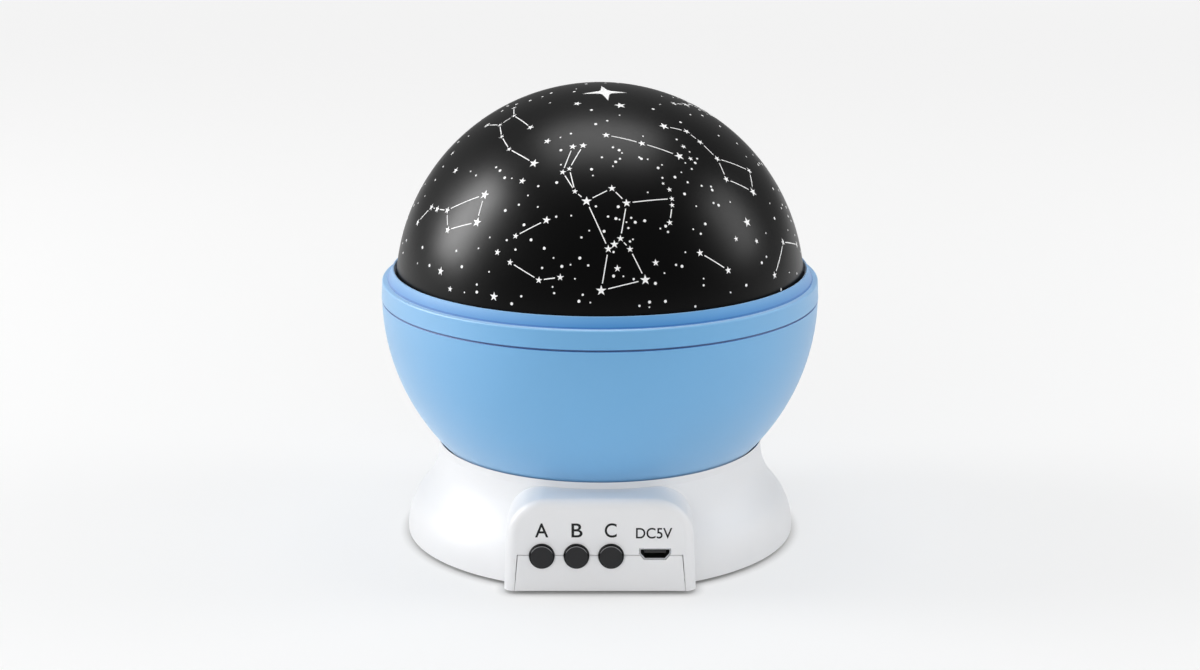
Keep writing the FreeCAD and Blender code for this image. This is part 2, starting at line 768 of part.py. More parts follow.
BAY_OUT_Y = f"({BAY_HALF_WIDTH} + bay_wall)"
rectangle(sketch, f"-{BAY_OUT_X}", BAY_OUT_X, f"bay_centre - {BAY_OUT_Y}", f"bay_centre + {BAY_OUT_Y}")
raise_from(cover, sketch, f"{BAY_TOP} - cover_under")
sketch = attach(cover, "door_boss", "XY_Plane", "cover_under")
circle(sketch, "door_boss_radius", "0", DOOR_SCREW_Y)
raise_from(cover, sketch, "cover_wall + door_boss_height")
sketch = attach(cover, "bay_room", "XY_Plane", "cover_under - 1")
rectangle(sketch, f"-{BAY_HALF_LENGTH}", BAY_HALF_LENGTH,
          f"bay_centre - {BAY_HALF_WIDTH}", f"bay_centre + {BAY_HALF_WIDTH}")
cut_into(cover, sketch, f"{BAY_ROOF} - cover_under + 1", along=True)
sketch = attach(cover, "door_seat", "XY_Plane", "cover_under - 1")
rectangle(sketch, f"-{RECESS_HALF_LENGTH}", RECESS_HALF_LENGTH, RECESS_FRONT, RECESS_BACK)
cut_into(cover, sketch, "door_wall + 1", along=True)
sketch = attach(cover, "tongue_seat", "XY_Plane", "cover_under - 1")
TONGUE_FRONT = f"({RECESS_FRONT} - tongue_length)"
rectangle(sketch, "-tongue_width / 2", "tongue_width / 2", TONGUE_FRONT, f"{RECESS_FRONT} + 0.5")
cut_into(cover, sketch, "door_wall + 1", along=True)
sketch = attach(cover, "door_screw_hole", "XY_Plane", "cover_under")
circle(sketch, "small_shank + door_screw_gap", "0", DOOR_SCREW_Y)
cut_into(cover, sketch, "cover_wall + door_boss_height - 0.6", along=True)
sketch = attach(cover, "hook_slots", "XY_Plane", COVER_TOP)
for side in ("-", ""):
    left = f"{side}hook_place - hook_width / 2 - 0.3"
    right = f"{side}hook_place + hook_width / 2 + 0.3"
    rectangle(sketch, left, right, f"bay_centre + {BAY_HALF_WIDTH} - 0.5", f"bay_centre + {BAY_OUT_Y} + 0.5")
cut_into(cover, sketch, "hook_lift + hook_wall + 1", along=True)
sketch = attach(cover, "cover_screw_holes", "XY_Plane", "cover_under - 1")
for x, y in CASE_PLACES:
    circle(sketch, "case_shank + screw_room", x, y)
cut_into(cover, sketch, "cover_wall + 2", along=True)
sketch = attach(cover, "cover_screw_seats", "XY_Plane", "cover_under - 1")
for x, y in CASE_PLACES:
    circle(sketch, "case_head + screw_room", x, y)
cut_into(cover, sketch, "case_head_height + 1.1", along=True)
FEET_PLACES = ring_places("(base_radius - foot_inset)", 4, 45)
sketch = attach(cover, "foot_seats", "XY_Plane", "cover_under - 1")
for x, y in FEET_PLACES:
    circle(sketch, "foot_radius + 0.05", x, y)
cut_into(cover, sketch, "foot_sink + 1", along=True)
CELL_PLACES = [f"(bay_centre + {CELL_PITCH} * {number - 1.5})" for number in range(4)]
TAIL_X = f"-({BAY_HALF_LENGTH} - contact_wall / 2)"
sketch = attach(cover, "tail_slots", "XY_Plane", f"{BAY_ROOF} - 0.5")
for y in (CELL_PLACES[0], CELL_PLACES[3]):
    rectangle(sketch, f"{TAIL_X} - contact_wall / 2 - 0.15", f"{TAIL_X} + contact_wall / 2 + 0.15",
              f"{y} - contact_tail / 2 - 0.2", f"{y} + contact_tail / 2 + 0.2")
cut_into(cover, sketch, "bay_wall + 1", along=True)
node("bottom_cover", cover)

FOOT_HEIGHT = "(cover_under + foot_sink)"
foot = turned("foot", [
    ("0", "0"), ("foot_radius - 0.6", "0"), ("foot_radius", "0.6"), ("foot_radius", FOOT_HEIGHT), ("0", FOOT_HEIGHT),
])
copies("rubber_feet", foot, [(x, y, "0") for x, y in FEET_PLACES])
CASE_SEAT = "cover_under + case_head_height + 0.1"
copies("case_screws", case_screw, [(x, y, CASE_SEAT) for x, y in CASE_PLACES], 180)

# Battery door: it tips about its hooked rear edge, and its captive screw holds the front
door = doc.addObject("PartDesign::Body", "battery_door")
DOOR_BACK = f"({RECESS_BACK} - door_gap)"
DOOR_HALF = f"({RECESS_HALF_LENGTH} - door_gap)"
sketch = attach(door, "door_plate", "XY_Plane", "cover_under")
rectangle(sketch, f"-{DOOR_HALF}", DOOR_HALF, f"{RECESS_FRONT} + door_gap", DOOR_BACK)
raise_from(door, sketch, "door_wall - 0.02")
sketch = attach(door, "door_tongue", "XY_Plane", "cover_under")
rectangle(sketch, "-tongue_width / 2 + door_gap", "tongue_width / 2 - door_gap",
          f"{TONGUE_FRONT} + door_gap", f"{RECESS_FRONT} + 1")
raise_from(door, sketch, "door_wall - 0.02")
HOOK_HEIGHT = f"({COVER_TOP} + hook_lift - 0.4)"
for number, side in enumerate(("-", "")):
    left, right = f"{side}hook_place - hook_width / 2", f"{side}hook_place + hook_width / 2"
    inside = f"bay_centre + {BAY_HALF_WIDTH} - 0.25"
    sketch = attach(door, f"hook_rib_{number}", "XY_Plane", f"{DOOR_TOP} - 0.5")
    rectangle(sketch, left, right, f"{inside} - 1", inside)
    raise_from(door, sketch, f"{HOOK_HEIGHT} + hook_wall - {DOOR_TOP} + 0.5")
    sketch = attach(door, f"hook_tip_{number}", "XY_Plane", HOOK_HEIGHT)
    rectangle(sketch, left, right, f"{inside} - 0.5", f"{inside} + hook_reach")
    raise_from(door, sketch, "hook_wall")
sketch = attach(door, "door_hole", "XY_Plane", "cover_under - 1")
circle(sketch, SHANK_ROOM, "0", DOOR_SCREW_Y)
cut_into(door, sketch, "door_wall + 2", along=True)
sketch = attach(door, "door_hole_seat", "XY_Plane", "cover_under - 1")
circle(sketch, HEAD_ROOM, "0", DOOR_SCREW_Y)
cut_into(door, sketch, "1.9", along=True)
node("battery_door", door)
door_screw = screw("door_screw", "small", "door_wall - 0.9 + 3.6")
door_screw.Placement.Rotation = FreeCAD.Rotation(Vector(1, 0, 0), 180)
place(door_screw, "0", DOOR_SCREW_Y, "cover_under + 0.9")
node("door_screw", door_screw)

# Cells lie side by side and point in turn to either side; each has a spring at its flat end
BODY_LENGTH = "(cell_length - nub_length)"
cell_corners = [
    ("0", "0"), ("cell_diameter / 2 - 0.4", "0"), ("cell_diameter / 2", "0.4"),
    ("cell_diameter / 2", f"{BODY_LENGTH} - 0.6"), ("cell_diameter / 2 - 0.6", BODY_LENGTH),
    ("nub_radius", BODY_LENGTH), ("nub_radius", "cell_length"), ("0", "cell_length"),
]
springs = []
for number, y in enumerate(CELL_PLACES):
    turn, side = (90, "-") if number % 2 else (-90, "")
    cell = turned(f"cell_{number + 1}", cell_corners)
    cell.Placement.Rotation = FreeCAD.Rotation(Vector(0, 1, 0), turn)
    flat_end = f"{side}({BAY_HALF_LENGTH} - contact_wall - spring_length)"
    place(cell, flat_end, y, CELL_HEIGHT)
    node(f"aaa_cell_{number + 1}", cell)
    spring = solid("Cone", f"spring_{number + 1}", Radius1="spring_radius",
                   Radius2="spring_tip_radius", Height="spring_length")
    spring.Placement.Rotation = FreeCAD.Rotation(Vector(0, 1, 0), turn)
    place(spring, f"{side}({BAY_HALF_LENGTH} - contact_wall)", y, CELL_HEIGHT)
    springs.append(spring)
group("battery_springs", springs)

CONTACT_FOOT = f"({DOOR_TOP} + 0.6)"
CONTACT_TOP = f"({BAY_ROOF} - 0.5)"
TAIL_TOP = f"({BAY_TOP} + 1)"
plates = []
for side, spans in (("-", ((0, 0), (1, 2), (3, 3))), ("", ((0, 1), (2, 3)))):
    near, far = f"{BAY_HALF_LENGTH} - contact_wall", BAY_HALF_LENGTH
    left, right = (f"-({far})", f"-({near})") if side else (near, far)
    for first, last in spans:
        name = f"contact_{first}{last}{'b' if side else 'a'}"
        plate = block(name, left, right, f"{CELL_PLACES[first]} - contact_half_width",
                      f"{CELL_PLACES[last]} + contact_half_width", CONTACT_FOOT, CONTACT_TOP)
        if first == last:
            y = CELL_PLACES[first]
            tail = block(name + "_tail", left, right, f"{y} - contact_tail / 2", f"{y} + contact_tail / 2",
                         f"{CONTACT_TOP} - 1", TAIL_TOP)
            plate = fused(name + "_plate", [plate, tail])
        plates.append(plate)
group("contact_plates", plates)

# Buttons: a cap through the wall, a flange behind it, and the switch's plunger behind that
for letter, x in zip("abc", BUTTON_PLACES):
    button = doc.addObject("PartDesign::Body", f"button_{letter}")
    sketch = attach(button, f"cap_{letter}", "XZ_Plane", FLANGE_FRONT)
    circle(sketch, "button_radius", x, "button_height")
    cap = raise_from(button, sketch, f"{BOX_FRONT} - {FLANGE_FRONT} + button_proud")
    tip_y = -measure(f"{BOX_FRONT} + button_proud")
    rounded(button, cap, lambda edge: abs(edge.BoundBox.YMax - tip_y) < 1e-4, "button_round")
    sketch = attach(button, f"flange_{letter}", "XZ_Plane", FLANGE_FRONT)
    circle(sketch, "button_radius + button_flange", x, "button_height")
    raise_from(button, sketch, "button_flange_wall", against=True)
    node(f"button_{letter}", button)
    plunger = rod(f"plunger_{letter}", "plunger_radius", "plunger_length",
                  x, f"-{FLANGE_BACK}", "button_height", -90)
    node(f"switch_plunger_{letter}", plunger)

switches = []
for letter, x in zip("abc", BUTTON_PLACES):
    case = block(f"switch_case_{letter}", f"{x} - switch_width / 2", f"{x} + switch_width / 2",
                 f"-{SWITCH_FRONT}", f"-{BOARD_FRONT}", "button_height - switch_width / 2",
                 "button_height + switch_width / 2")
    PLUNGER_END = f"({FLANGE_BACK} - plunger_length - button_travel - plunger_gap)"
    bore = rod(f"switch_bore_{letter}", "plunger_radius + plunger_gap", f"{FLANGE_BACK} - {PLUNGER_END}",
               x, f"-{FLANGE_BACK}", "button_height", -90)
    switches.append(less(f"switch_{letter}", case, bore))
group("tact_switches", switches)

# Control board with its chip and the power inlet
board = block("board_plate", f"-{BOARD_HALF}", BOARD_HALF, f"-{BOARD_FRONT}", f"-{BOARD_BACK}",
              "board_foot", "board_foot + board_height")
holes = fused("board_plate_holes", [
    rod(f"board_plate_hole_{number}", SHANK_ROOM, "board_wall + 2", x, f"-{BOARD_FRONT} - 1", z, -90)
    for number, (x, z) in enumerate(BOARD_SCREWS)
])
node("control_board", less("control_board", board, holes))
copies("board_screws", board_screw, [(x, f"-{BOARD_BACK}", z) for x, z in BOARD_SCREWS], -90)
node("controller_chip", block("controller_chip", "chip_place - chip_width / 2", "chip_place + chip_width / 2",
                              f"-{BOARD_BACK}", f"-{BOARD_BACK} + chip_wall",
                              "chip_height - chip_width / 2", "chip_height + chip_width / 2"))
SOCKET_MOUTH = f"({BOX_FRONT} - socket_recess)"
socket = doc.addObject("PartDesign::Body", "power_socket")
sketch = attach(socket, "socket_shell", "XZ_Plane", SOCKET_MOUTH)
outline(sketch, socket_corners("0"))
raise_from(socket, sketch, f"{SOCKET_MOUTH} - {BOARD_FRONT}", against=True)
sketch = attach(socket, "socket_mouth", "XZ_Plane", SOCKET_MOUTH)
outline(sketch, socket_corners("(-socket_wall)"))
cut_into(socket, sketch, f"{SOCKET_MOUTH} - {BOARD_FRONT}")
node("power_socket_shell", socket)
insert = doc.addObject("PartDesign::Body", "socket_insert")
sketch = attach(insert, "insert_back", "XZ_Plane", BOARD_FRONT)
outline(sketch, socket_corners("(-socket_wall - 0.02)"))
raise_from(insert, sketch, "tongue_back")
sketch = attach(insert, "insert_tongue", "XZ_Plane", f"{BOARD_FRONT} + tongue_back")
TONGUE_TOP = f"({SOCKET_TOP} - socket_wall - tongue_drop)"
rectangle(sketch, "socket_place - tongue_half_width", "socket_place + tongue_half_width",
          f"{TONGUE_TOP} - tongue_wall", TONGUE_TOP)
raise_from(insert, sketch, f"{SOCKET_MOUTH} - tongue_recess - {BOARD_FRONT} - tongue_back")
node("power_socket_tongue", insert)

# Motor under the deck
MOTOR_Y = f"-{MOTOR_PLACE}"
PLATE_FOOT = f"({MOTOR_TOP} - motor_plate)"
MOTOR_FOOT = f"({MOTOR_TOP} - motor_height)"
can = rod("motor_can", "motor_radius", "motor_height", "0", MOTOR_Y, MOTOR_FOOT)
ears = block("motor_ears", "-motor_ear - motor_ear_half_width", "motor_ear + motor_ear_half_width",
             f"{MOTOR_Y} - motor_ear_half_width", f"{MOTOR_Y} + motor_ear_half_width", PLATE_FOOT, MOTOR_TOP)
collar = rod("motor_collar", "motor_collar_radius", "motor_collar_height + 1", "0", MOTOR_Y, f"{MOTOR_TOP} - 1")
TERMINAL_FRONT = f"({MOTOR_Y} - motor_radius - terminal_depth)"
TERMINAL_FOOT = f"({MOTOR_FOOT} + 2)"
terminal = block("motor_terminal", "-terminal_width / 2", "terminal_width / 2", TERMINAL_FRONT,
                 f"{MOTOR_Y} - motor_radius + 1.5", TERMINAL_FOOT, f"{TERMINAL_FOOT} + terminal_height")
motor_body = fused("motor_body", [can, ears, collar, terminal])
motor_bores = fused("motor_bores", [
    rod("shaft_bore", "shaft_radius + shaft_gap", "shaft_depth + 10", "0", MOTOR_Y, f"{MOTOR_TOP} - shaft_depth"),
    *(rod(f"ear_hole_{number}", SHANK_ROOM, "motor_plate + 2", x, y, f"{PLATE_FOOT} - 1")
      for number, (x, y) in enumerate(MOTOR_SCREWS)),
])
node("gear_motor", less("gear_motor", motor_body, motor_bores))
copies("motor_screws", ear_screw, [(x, y, PLATE_FOOT) for x, y in MOTOR_SCREWS], 180)
GEAR_FOOT = f"({DECK_TOP} + gear_gap)"
PINION_TOP = f"({BOWL_FLOOR} - pinion_gap)"
SHAFT_FOOT = f"({MOTOR_TOP} - shaft_depth + 0.2)"
node("motor_shaft", rod("motor_shaft", "shaft_radius", f"{PINION_TOP} - {SHAFT_FOOT}", "0", MOTOR_Y, SHAFT_FOOT))


def gear_face(teeth, first_tooth):
    """The face of an involute gear at the origin. First_tooth is the direction of one tooth, in radians."""
    module = measure("gear_module")
    pitch = module * teeth / 2
    base = pitch * math.cos(math.radians(20))
    tip, root = pitch + module, pitch - 1.25 * module
    half_tooth = (math.pi * module - measure("gear_backlash")) / 4 / pitch

    def spread(radius):
        lean = math.acos(min(base / radius, 1))
        return math.tan(lean) - lean

    def point(radius, angle):
        return Vector(radius * math.cos(angle), radius * math.sin(angle))

    lowest = max(base, root)
    radii = [lowest + (tip - lowest) * step / 5 for step in range(6)]
    leans = [half_tooth + spread(pitch) - spread(radius) for radius in radii]
    edges = []
    for number in range(teeth):
        middle = first_tooth + 2 * math.pi * number / teeth
        after = middle + 2 * math.pi / teeth
        rise = [point(radius, middle - lean) for radius, lean in zip(radii, leans)]
        fall = [point(radius, middle + lean) for radius, lean in zip(radii, leans)][::-1]
        for flank in (rise, fall):
            curve = Part.BSplineCurve()
            curve.interpolate(flank)
            edges.append(curve.toShape())
        edges.append(Part.Arc(rise[-1], point(tip, middle), fall[0]).toShape())
        foot_left, foot_right = point(root, middle + leans[0]), point(root, after - leans[0])
        if lowest > root:
            edges.append(Part.LineSegment(fall[-1], foot_left).toShape())
            edges.append(Part.LineSegment(foot_right, point(lowest, after - leans[0])).toShape())
        valley = point(root, (middle + after) / 2)
        edges.append(Part.Arc(foot_left, valley, foot_right).toShape())
    return Part.Face(Part.Wire(Part.__sortEdges__(edges)))


def gear(name, teeth, first_tooth, width):
    """A gear's toothed disc, standing on the origin."""
    made = doc.addObject("Part::Feature", name)
    made.Shape = gear_face(int(measure(teeth)), first_tooth).extrude(UP * measure(width))
    return made


half_pitch = math.pi / measure("pinion_teeth")
pinion_disc = gear("pinion_disc", "pinion_teeth", math.pi / 2 + half_pitch, f"{PINION_TOP} - {GEAR_FOOT}")
place(pinion_disc, "0", MOTOR_Y, GEAR_FOOT)
pinion_bore = rod("pinion_bore", "shaft_radius", f"{PINION_TOP} - {GEAR_FOOT} + 2", "0", MOTOR_Y, f"{GEAR_FOOT} - 1")
node("drive_pinion", less("drive_pinion", pinion_disc, pinion_bore))

# Ring gear under the bowl
gear_disc = gear("gear_disc", "gear_teeth", -math.pi / 2, "gear_width")
place(gear_disc, "0", "0", GEAR_FOOT)
GEAR_SCREWS = ring_places("gear_screw_circle", 3, 90)
gear_cuts = [rod("gear_bore", "gear_bore", "gear_width + 2", "0", "0", f"{GEAR_FOOT} - 1")]
for number, (x, y) in enumerate(GEAR_SCREWS):
    gear_cuts.append(rod(f"gear_hole_{number}", SHANK_ROOM, "gear_width + 2", x, y, f"{GEAR_FOOT} - 1"))
    gear_cuts.append(rod(f"gear_seat_{number}", HEAD_ROOM, "small_head_height + 1", x, y, f"{GEAR_FOOT} - 1"))
node("ring_gear", less("ring_gear", gear_disc, fused("gear_cuts", gear_cuts)))
copies("gear_screws", gear_screw, [(x, y, f"{GEAR_FOOT} + small_head_height") for x, y in GEAR_SCREWS], 180)

# Lamp post, with the washer, bush and clip that carry the bowl
CLIP_IN = "(post_radius - clip_groove)"
post = turned("lamp_post", [
    ("post_bore", DECK_TOP), ("flange_radius", DECK_TOP), ("flange_radius", FLANGE_TOP),
    ("post_radius", FLANGE_TOP), ("post_radius", f"{CLIP_FOOT} - 0.05"), (CLIP_IN, f"{CLIP_FOOT} - 0.05"),
    (CLIP_IN, f"{CLIP_FOOT} + clip_wall + 0.05"), ("post_radius", f"{CLIP_FOOT} + clip_wall + 0.05"),
    ("post_radius", POST_TOP), ("post_bore", POST_TOP),
])
sketch = attach(post, "flange_holes", "XY_Plane", f"{FLANGE_TOP} + 1")
for x, y in POST_SCREWS:
    circle(sketch, SHANK_ROOM, x, y)
cut_into(post, sketch, "flange_wall + 2")
sketch = attach(post, "flange_seats", "XY_Plane", f"{FLANGE_TOP} + 1")
for x, y in POST_SCREWS:
    circle(sketch, HEAD_ROOM, x, y)
cut_into(post, sketch, "small_head_height + 1.1")
node("lamp_post", post)
copies("post_screws", deck_screw, [(x, y, f"{FLANGE_TOP} - small_head_height - 0.1") for x, y in POST_SCREWS])
WASHER_BORE = "(post_radius + 0.1)"
node("thrust_washer", turned("thrust_washer", [
    (WASHER_BORE, FLANGE_TOP), ("bush_flange_radius", FLANGE_TOP),
    ("bush_flange_radius", BUSH_FOOT), (WASHER_BORE, BUSH_FOOT),
]))
BUSH_BORE = "(post_radius + bush_gap)"
node("hub_bush", turned("hub_bush", [
    (BUSH_BORE, BUSH_FOOT), ("bush_flange_radius", BUSH_FOOT), ("bush_flange_radius", BOWL_FLOOR),
    (BUSH_RADIUS, BOWL_FLOOR), (BUSH_RADIUS, BUSH_TOP), (BUSH_BORE, BUSH_TOP),
]))
clip = turned("retaining_clip", [
    (CLIP_IN, CLIP_FOOT), (f"{CLIP_IN} + clip_width", CLIP_FOOT),
    (f"{CLIP_IN} + clip_width", f"{CLIP_FOOT} + clip_wall"), (CLIP_IN, f"{CLIP_FOOT} + clip_wall"),
])
sketch = attach(clip, "clip_gap_outline", "XY_Plane", f"{CLIP_FOOT} - 1")
rectangle(sketch, "0", "post_radius + clip_width + 1", "-clip_opening / 2", "clip_opening / 2")
cut_into(clip, sketch, "clip_wall + 2", along=True)
node("retaining_clip", clip)
glides = [
    rod(f"glide_{number}", "glide_radius", f"{BOWL_FLOOR} - glide_gap - {DECK_TOP}", x, y, DECK_TOP)
    for number, (x, y) in enumerate(ring_places("glide_circle", 3, 90))
]
group("glide_pads", glides)

# Lamp holder, lamp board and four lamps at the dome's centre
holder = turned("lamp_holder", [
    ("0", f"{POST_TOP} - spigot_length"), ("post_bore - spigot_gap", f"{POST_TOP} - spigot_length"),
    ("post_bore - spigot_gap", POST_TOP), ("holder_radius", POST_TOP), ("holder_radius", HOLDER_TOP),
    ("0", HOLDER_TOP),
])
LAMP_SCREWS = [("lamp_screw_place", "0"), ("-lamp_screw_place", "0")]
sketch = attach(holder, "lead_hole", "XY_Plane", f"{HOLDER_TOP} + 1")
circle(sketch, "lamp_lead_radius + 0.3")
cut_into(holder, sketch, "holder_wall + spigot_length + 2")
sketch = attach(holder, "holder_screw_holes", "XY_Plane", f"{HOLDER_TOP} + 1")
for x, y in LAMP_SCREWS:
    circle(sketch, SHANK_HOLE, x, y)
cut_into(holder, sketch, "holder_wall + 0.7")
node("lamp_holder", holder)
lamp_disc = rod("lamp_disc", "lamp_board_radius", "lamp_board_wall", "0", "0", HOLDER_TOP)
lamp_holes = fused("lamp_holes", [
    rod(f"lamp_hole_{number}", SHANK_ROOM, "lamp_board_wall + 2", x, y, f"{HOLDER_TOP} - 1")
    for number, (x, y) in enumerate(LAMP_SCREWS)
])
node("lamp_board", less("lamp_board", lamp_disc, lamp_holes))
copies("lamp_screws", lamp_screw, [(x, y, LAMP_FOOT) for x, y in LAMP_SCREWS])
LAMP_COLOURS = ("white", "red", "green", "blue")
for colour, (x, y) in zip(LAMP_COLOURS, ring_places("lamp_circle", 4, 45)):
    flange = "(lamp_radius + lamp_flange)"
    lamp = turned(f"lamp_{colour}", [
        ("0", "0"), (flange, "0"), (flange, "lamp_flange_wall"), ("lamp_radius", "lamp_flange_wall"),
        ("lamp_radius", "lamp_length - lamp_radius", "lamp_radius", "left"), ("0", "lamp_length"),
    ])
    place(lamp, x, y, LAMP_FOOT)
    node(f"lamp_{colour}", lamp)

# Bowl: its floor carries the gear and bush, and three tabs take the ring's lugs
FLOOR_RADIUS = cut_radius("bowl_radius", BOWL_CENTRE, BOWL_FLOOR)
bowl = turned("bowl", [
    (BUSH_RADIUS, BOWL_FLOOR),
    (FLOOR_RADIUS, BOWL_FLOOR, "bowl_radius", "left"),
    (cut_radius("bowl_radius", BOWL_CENTRE, f"({SEAM} - seam_edge)"), f"{SEAM} - seam_edge"),
    (f"{cut_radius('bowl_radius', BOWL_CENTRE, SEAM)} - seam_edge", SEAM),
    (cut_radius(BOWL_INSIDE, BOWL_CENTRE, SEAM), SEAM, BOWL_INSIDE, "right"),
    (cut_radius(BOWL_INSIDE, BOWL_CENTRE, FLOOR_TOP), FLOOR_TOP),
    (BUSH_RADIUS, FLOOR_TOP),
])
POST_PLACES = ring_places("tray_post_circle", 3, 60)
sketch = attach(bowl, "tray_posts", "XY_Plane", f"{FLOOR_TOP} - 0.5")
for x, y in POST_PLACES:
    circle(sketch, "tray_post_radius", x, y)
raise_from(bowl, sketch, f"{TRAY_FOOT} - {FLOOR_TOP} + 0.5")
sketch = attach(bowl, "tray_post_holes", "XY_Plane", TRAY_FOOT)
for x, y in POST_PLACES:
    circle(sketch, SHANK_HOLE, x, y)
cut_into(bowl, sketch, "8")
sketch = attach(bowl, "gear_bosses", "XY_Plane", f"{FLOOR_TOP} - 0.5")
for x, y in GEAR_SCREWS:
    circle(sketch, "screw_boss", x, y)
raise_from(bowl, sketch, "3.5")
sketch = attach(bowl, "gear_boss_holes", "XY_Plane", f"{BOWL_FLOOR} - 1")
for x, y in GEAR_SCREWS:
    circle(sketch, SHANK_HOLE, x, y)
cut_into(bowl, sketch, "bowl_wall + 3.4", along=True)
TAB_IN = f"({SKIRT_RADIUS} + bayonet_gap)"
tab = arc_piece(bowl, "bayonet_tab", [
    (TAB_IN, TAB_FOOT), (f"{BOWL_INSIDE} + 0.6", TAB_FOOT),
    (f"{BOWL_INSIDE} + 0.6", f"{TAB_FOOT} + tab_height"), (TAB_IN, f"{TAB_FOOT} + tab_height"),
], "tab_arc")
STOP_EDGE = f"({LUG_RADIUS} * sin(lug_arc / 2) + 0.3)"
sketch = attach(bowl, "bayonet_stop", "XY_Plane", f"{TAB_FOOT} - lug_height - 0.5")
rectangle(sketch, f"{TAB_IN} - 0.7", f"{BOWL_INSIDE} - 0.3", f"-({STOP_EDGE} + stop_width)", f"-{STOP_EDGE}")
stop = raise_from(bowl, sketch, "lug_height + tab_height + 0.5")
round_copies(bowl, "bayonet_tabs", [tab, stop], "bayonet_count")
node("bowl_shell", bowl)

# Reflector tray over the bowl's posts
tray = turned("reflector_tray", [
    ("tray_bore", TRAY_FOOT), (TRAY_RADIUS, TRAY_FOOT), (TRAY_RADIUS, f"{TRAY_TOP} + tray_rim"),
    (f"{TRAY_RADIUS} - tray_wall", f"{TRAY_TOP} + tray_rim"), (f"{TRAY_RADIUS} - tray_wall", TRAY_TOP),
    ("tray_bore + tray_wall", TRAY_TOP), ("tray_bore + tray_wall", f"{TRAY_TOP} + tray_collar"),
    ("tray_bore", f"{TRAY_TOP} + tray_collar"),
])
sketch = attach(tray, "tray_holes", "XY_Plane", f"{TRAY_TOP} + 1")
for x, y in POST_PLACES:
    circle(sketch, SHANK_ROOM, x, y)
cut_into(tray, sketch, "tray_wall + 2")
node("reflector_tray", tray)
copies("tray_screws", tray_screw, [(x, y, TRAY_TOP) for x, y in POST_PLACES])

# Dome ring: a lip, a step and a band outside; a ledge for the dome and a bayonet skirt inside
RING_BORE = f"({DOME_RADIUS} + dome_gap)"
RING_RADIUS = "(bowl_radius + ring_proud)"
LIP_HEIGHT = f"({SEAM} + ring_lip_rise)"
STEP_HEIGHT = f"({SEAM} + ring_step_rise)"
STEP_OUT = f"({RING_RADIUS} - ring_draft)"
STEP_IN = f"({STEP_OUT} - ring_step_width)"
LIP_OUT = f"({RING_BORE} + 2 * ring_lip_round)"
LEDGE_IN = f"({RING_BORE} - ring_ledge_width)"
SKIRT_FOOT = f"({RING_FOOT} - skirt_depth)"
ring = turned("dome_ring", [
    (RING_BORE, LEDGE_TOP),
    (RING_BORE, f"{LIP_HEIGHT} - ring_lip_round", "ring_lip_round", "right"),
    (f"{RING_BORE} + ring_lip_round", LIP_HEIGHT, "ring_lip_round", "right"),
    (LIP_OUT, f"{LIP_HEIGHT} - ring_lip_round"),
    (f"{STEP_IN} - 0.25", f"{STEP_HEIGHT} + 0.3", "0.45", "left"),
    (f"{STEP_IN} + 0.1", STEP_HEIGHT),
    (f"{STEP_OUT} - ring_step_round", STEP_HEIGHT, "ring_step_round", "right"),
    (STEP_OUT, f"{STEP_HEIGHT} - ring_step_round"),
    (RING_RADIUS, f"{RING_FOOT} + seam_edge"),
    (f"{RING_RADIUS} - seam_edge", RING_FOOT),
    (SKIRT_RADIUS, RING_FOOT),
    (SKIRT_RADIUS, SKIRT_FOOT),
    (f"{SKIRT_RADIUS} - skirt_wall", SKIRT_FOOT),
    (f"{SKIRT_RADIUS} - skirt_wall", RING_FOOT),
    (LEDGE_IN, RING_FOOT),
    (LEDGE_IN, LEDGE_TOP),
])
DOME_SCREWS = ring_places(f"({RING_BORE} - 3.8)", 3, 60)
sketch = attach(ring, "ledge_holes", "XY_Plane", f"{LEDGE_TOP} + 1")
for x, y in DOME_SCREWS:
    circle(sketch, SHANK_ROOM, x, y)
cut_into(ring, sketch, "ring_ledge + 2")
lug = arc_piece(ring, "lug", [
    (f"{SKIRT_RADIUS} - 0.5", SKIRT_FOOT), (LUG_RADIUS, SKIRT_FOOT), (LUG_RADIUS, LUG_TOP),
    (f"{SKIRT_RADIUS} - 0.5", LUG_TOP),
], "lug_arc")
round_copies(ring, "lugs", [lug], "bayonet_count")
node("dome_ring", ring)

# Star dome: a thin half sphere with a short straight foot
DOME_INSIDE = f"({DOME_RADIUS} - dome_wall)"
dome = turned("star_dome", [
    (DOME_RADIUS, LEDGE_TOP),
    (DOME_RADIUS, DOME_CENTRE, DOME_RADIUS, "left"),
    ("0", f"{DOME_CENTRE} + {DOME_RADIUS}"),
    ("0", f"{DOME_CENTRE} + {DOME_INSIDE}", DOME_INSIDE, "right"),
    (DOME_INSIDE, DOME_CENTRE),
    (DOME_INSIDE, LEDGE_TOP),
])
sketch = attach(dome, "dome_bosses", "XY_Plane", LEDGE_TOP)
for x, y in DOME_SCREWS:
    circle(sketch, "screw_boss", x, y)
raise_from(dome, sketch, "4.5")
sketch = attach(dome, "dome_boss_holes", "XY_Plane", LEDGE_TOP)
for x, y in DOME_SCREWS:
    circle(sketch, SHANK_HOLE, x, y)
cut_into(dome, sketch, "3.8", along=True)
node("star_dome", dome)
copies("dome_screws", dome_screw, [(x, y, RING_FOOT) for x, y in DOME_SCREWS], 180)


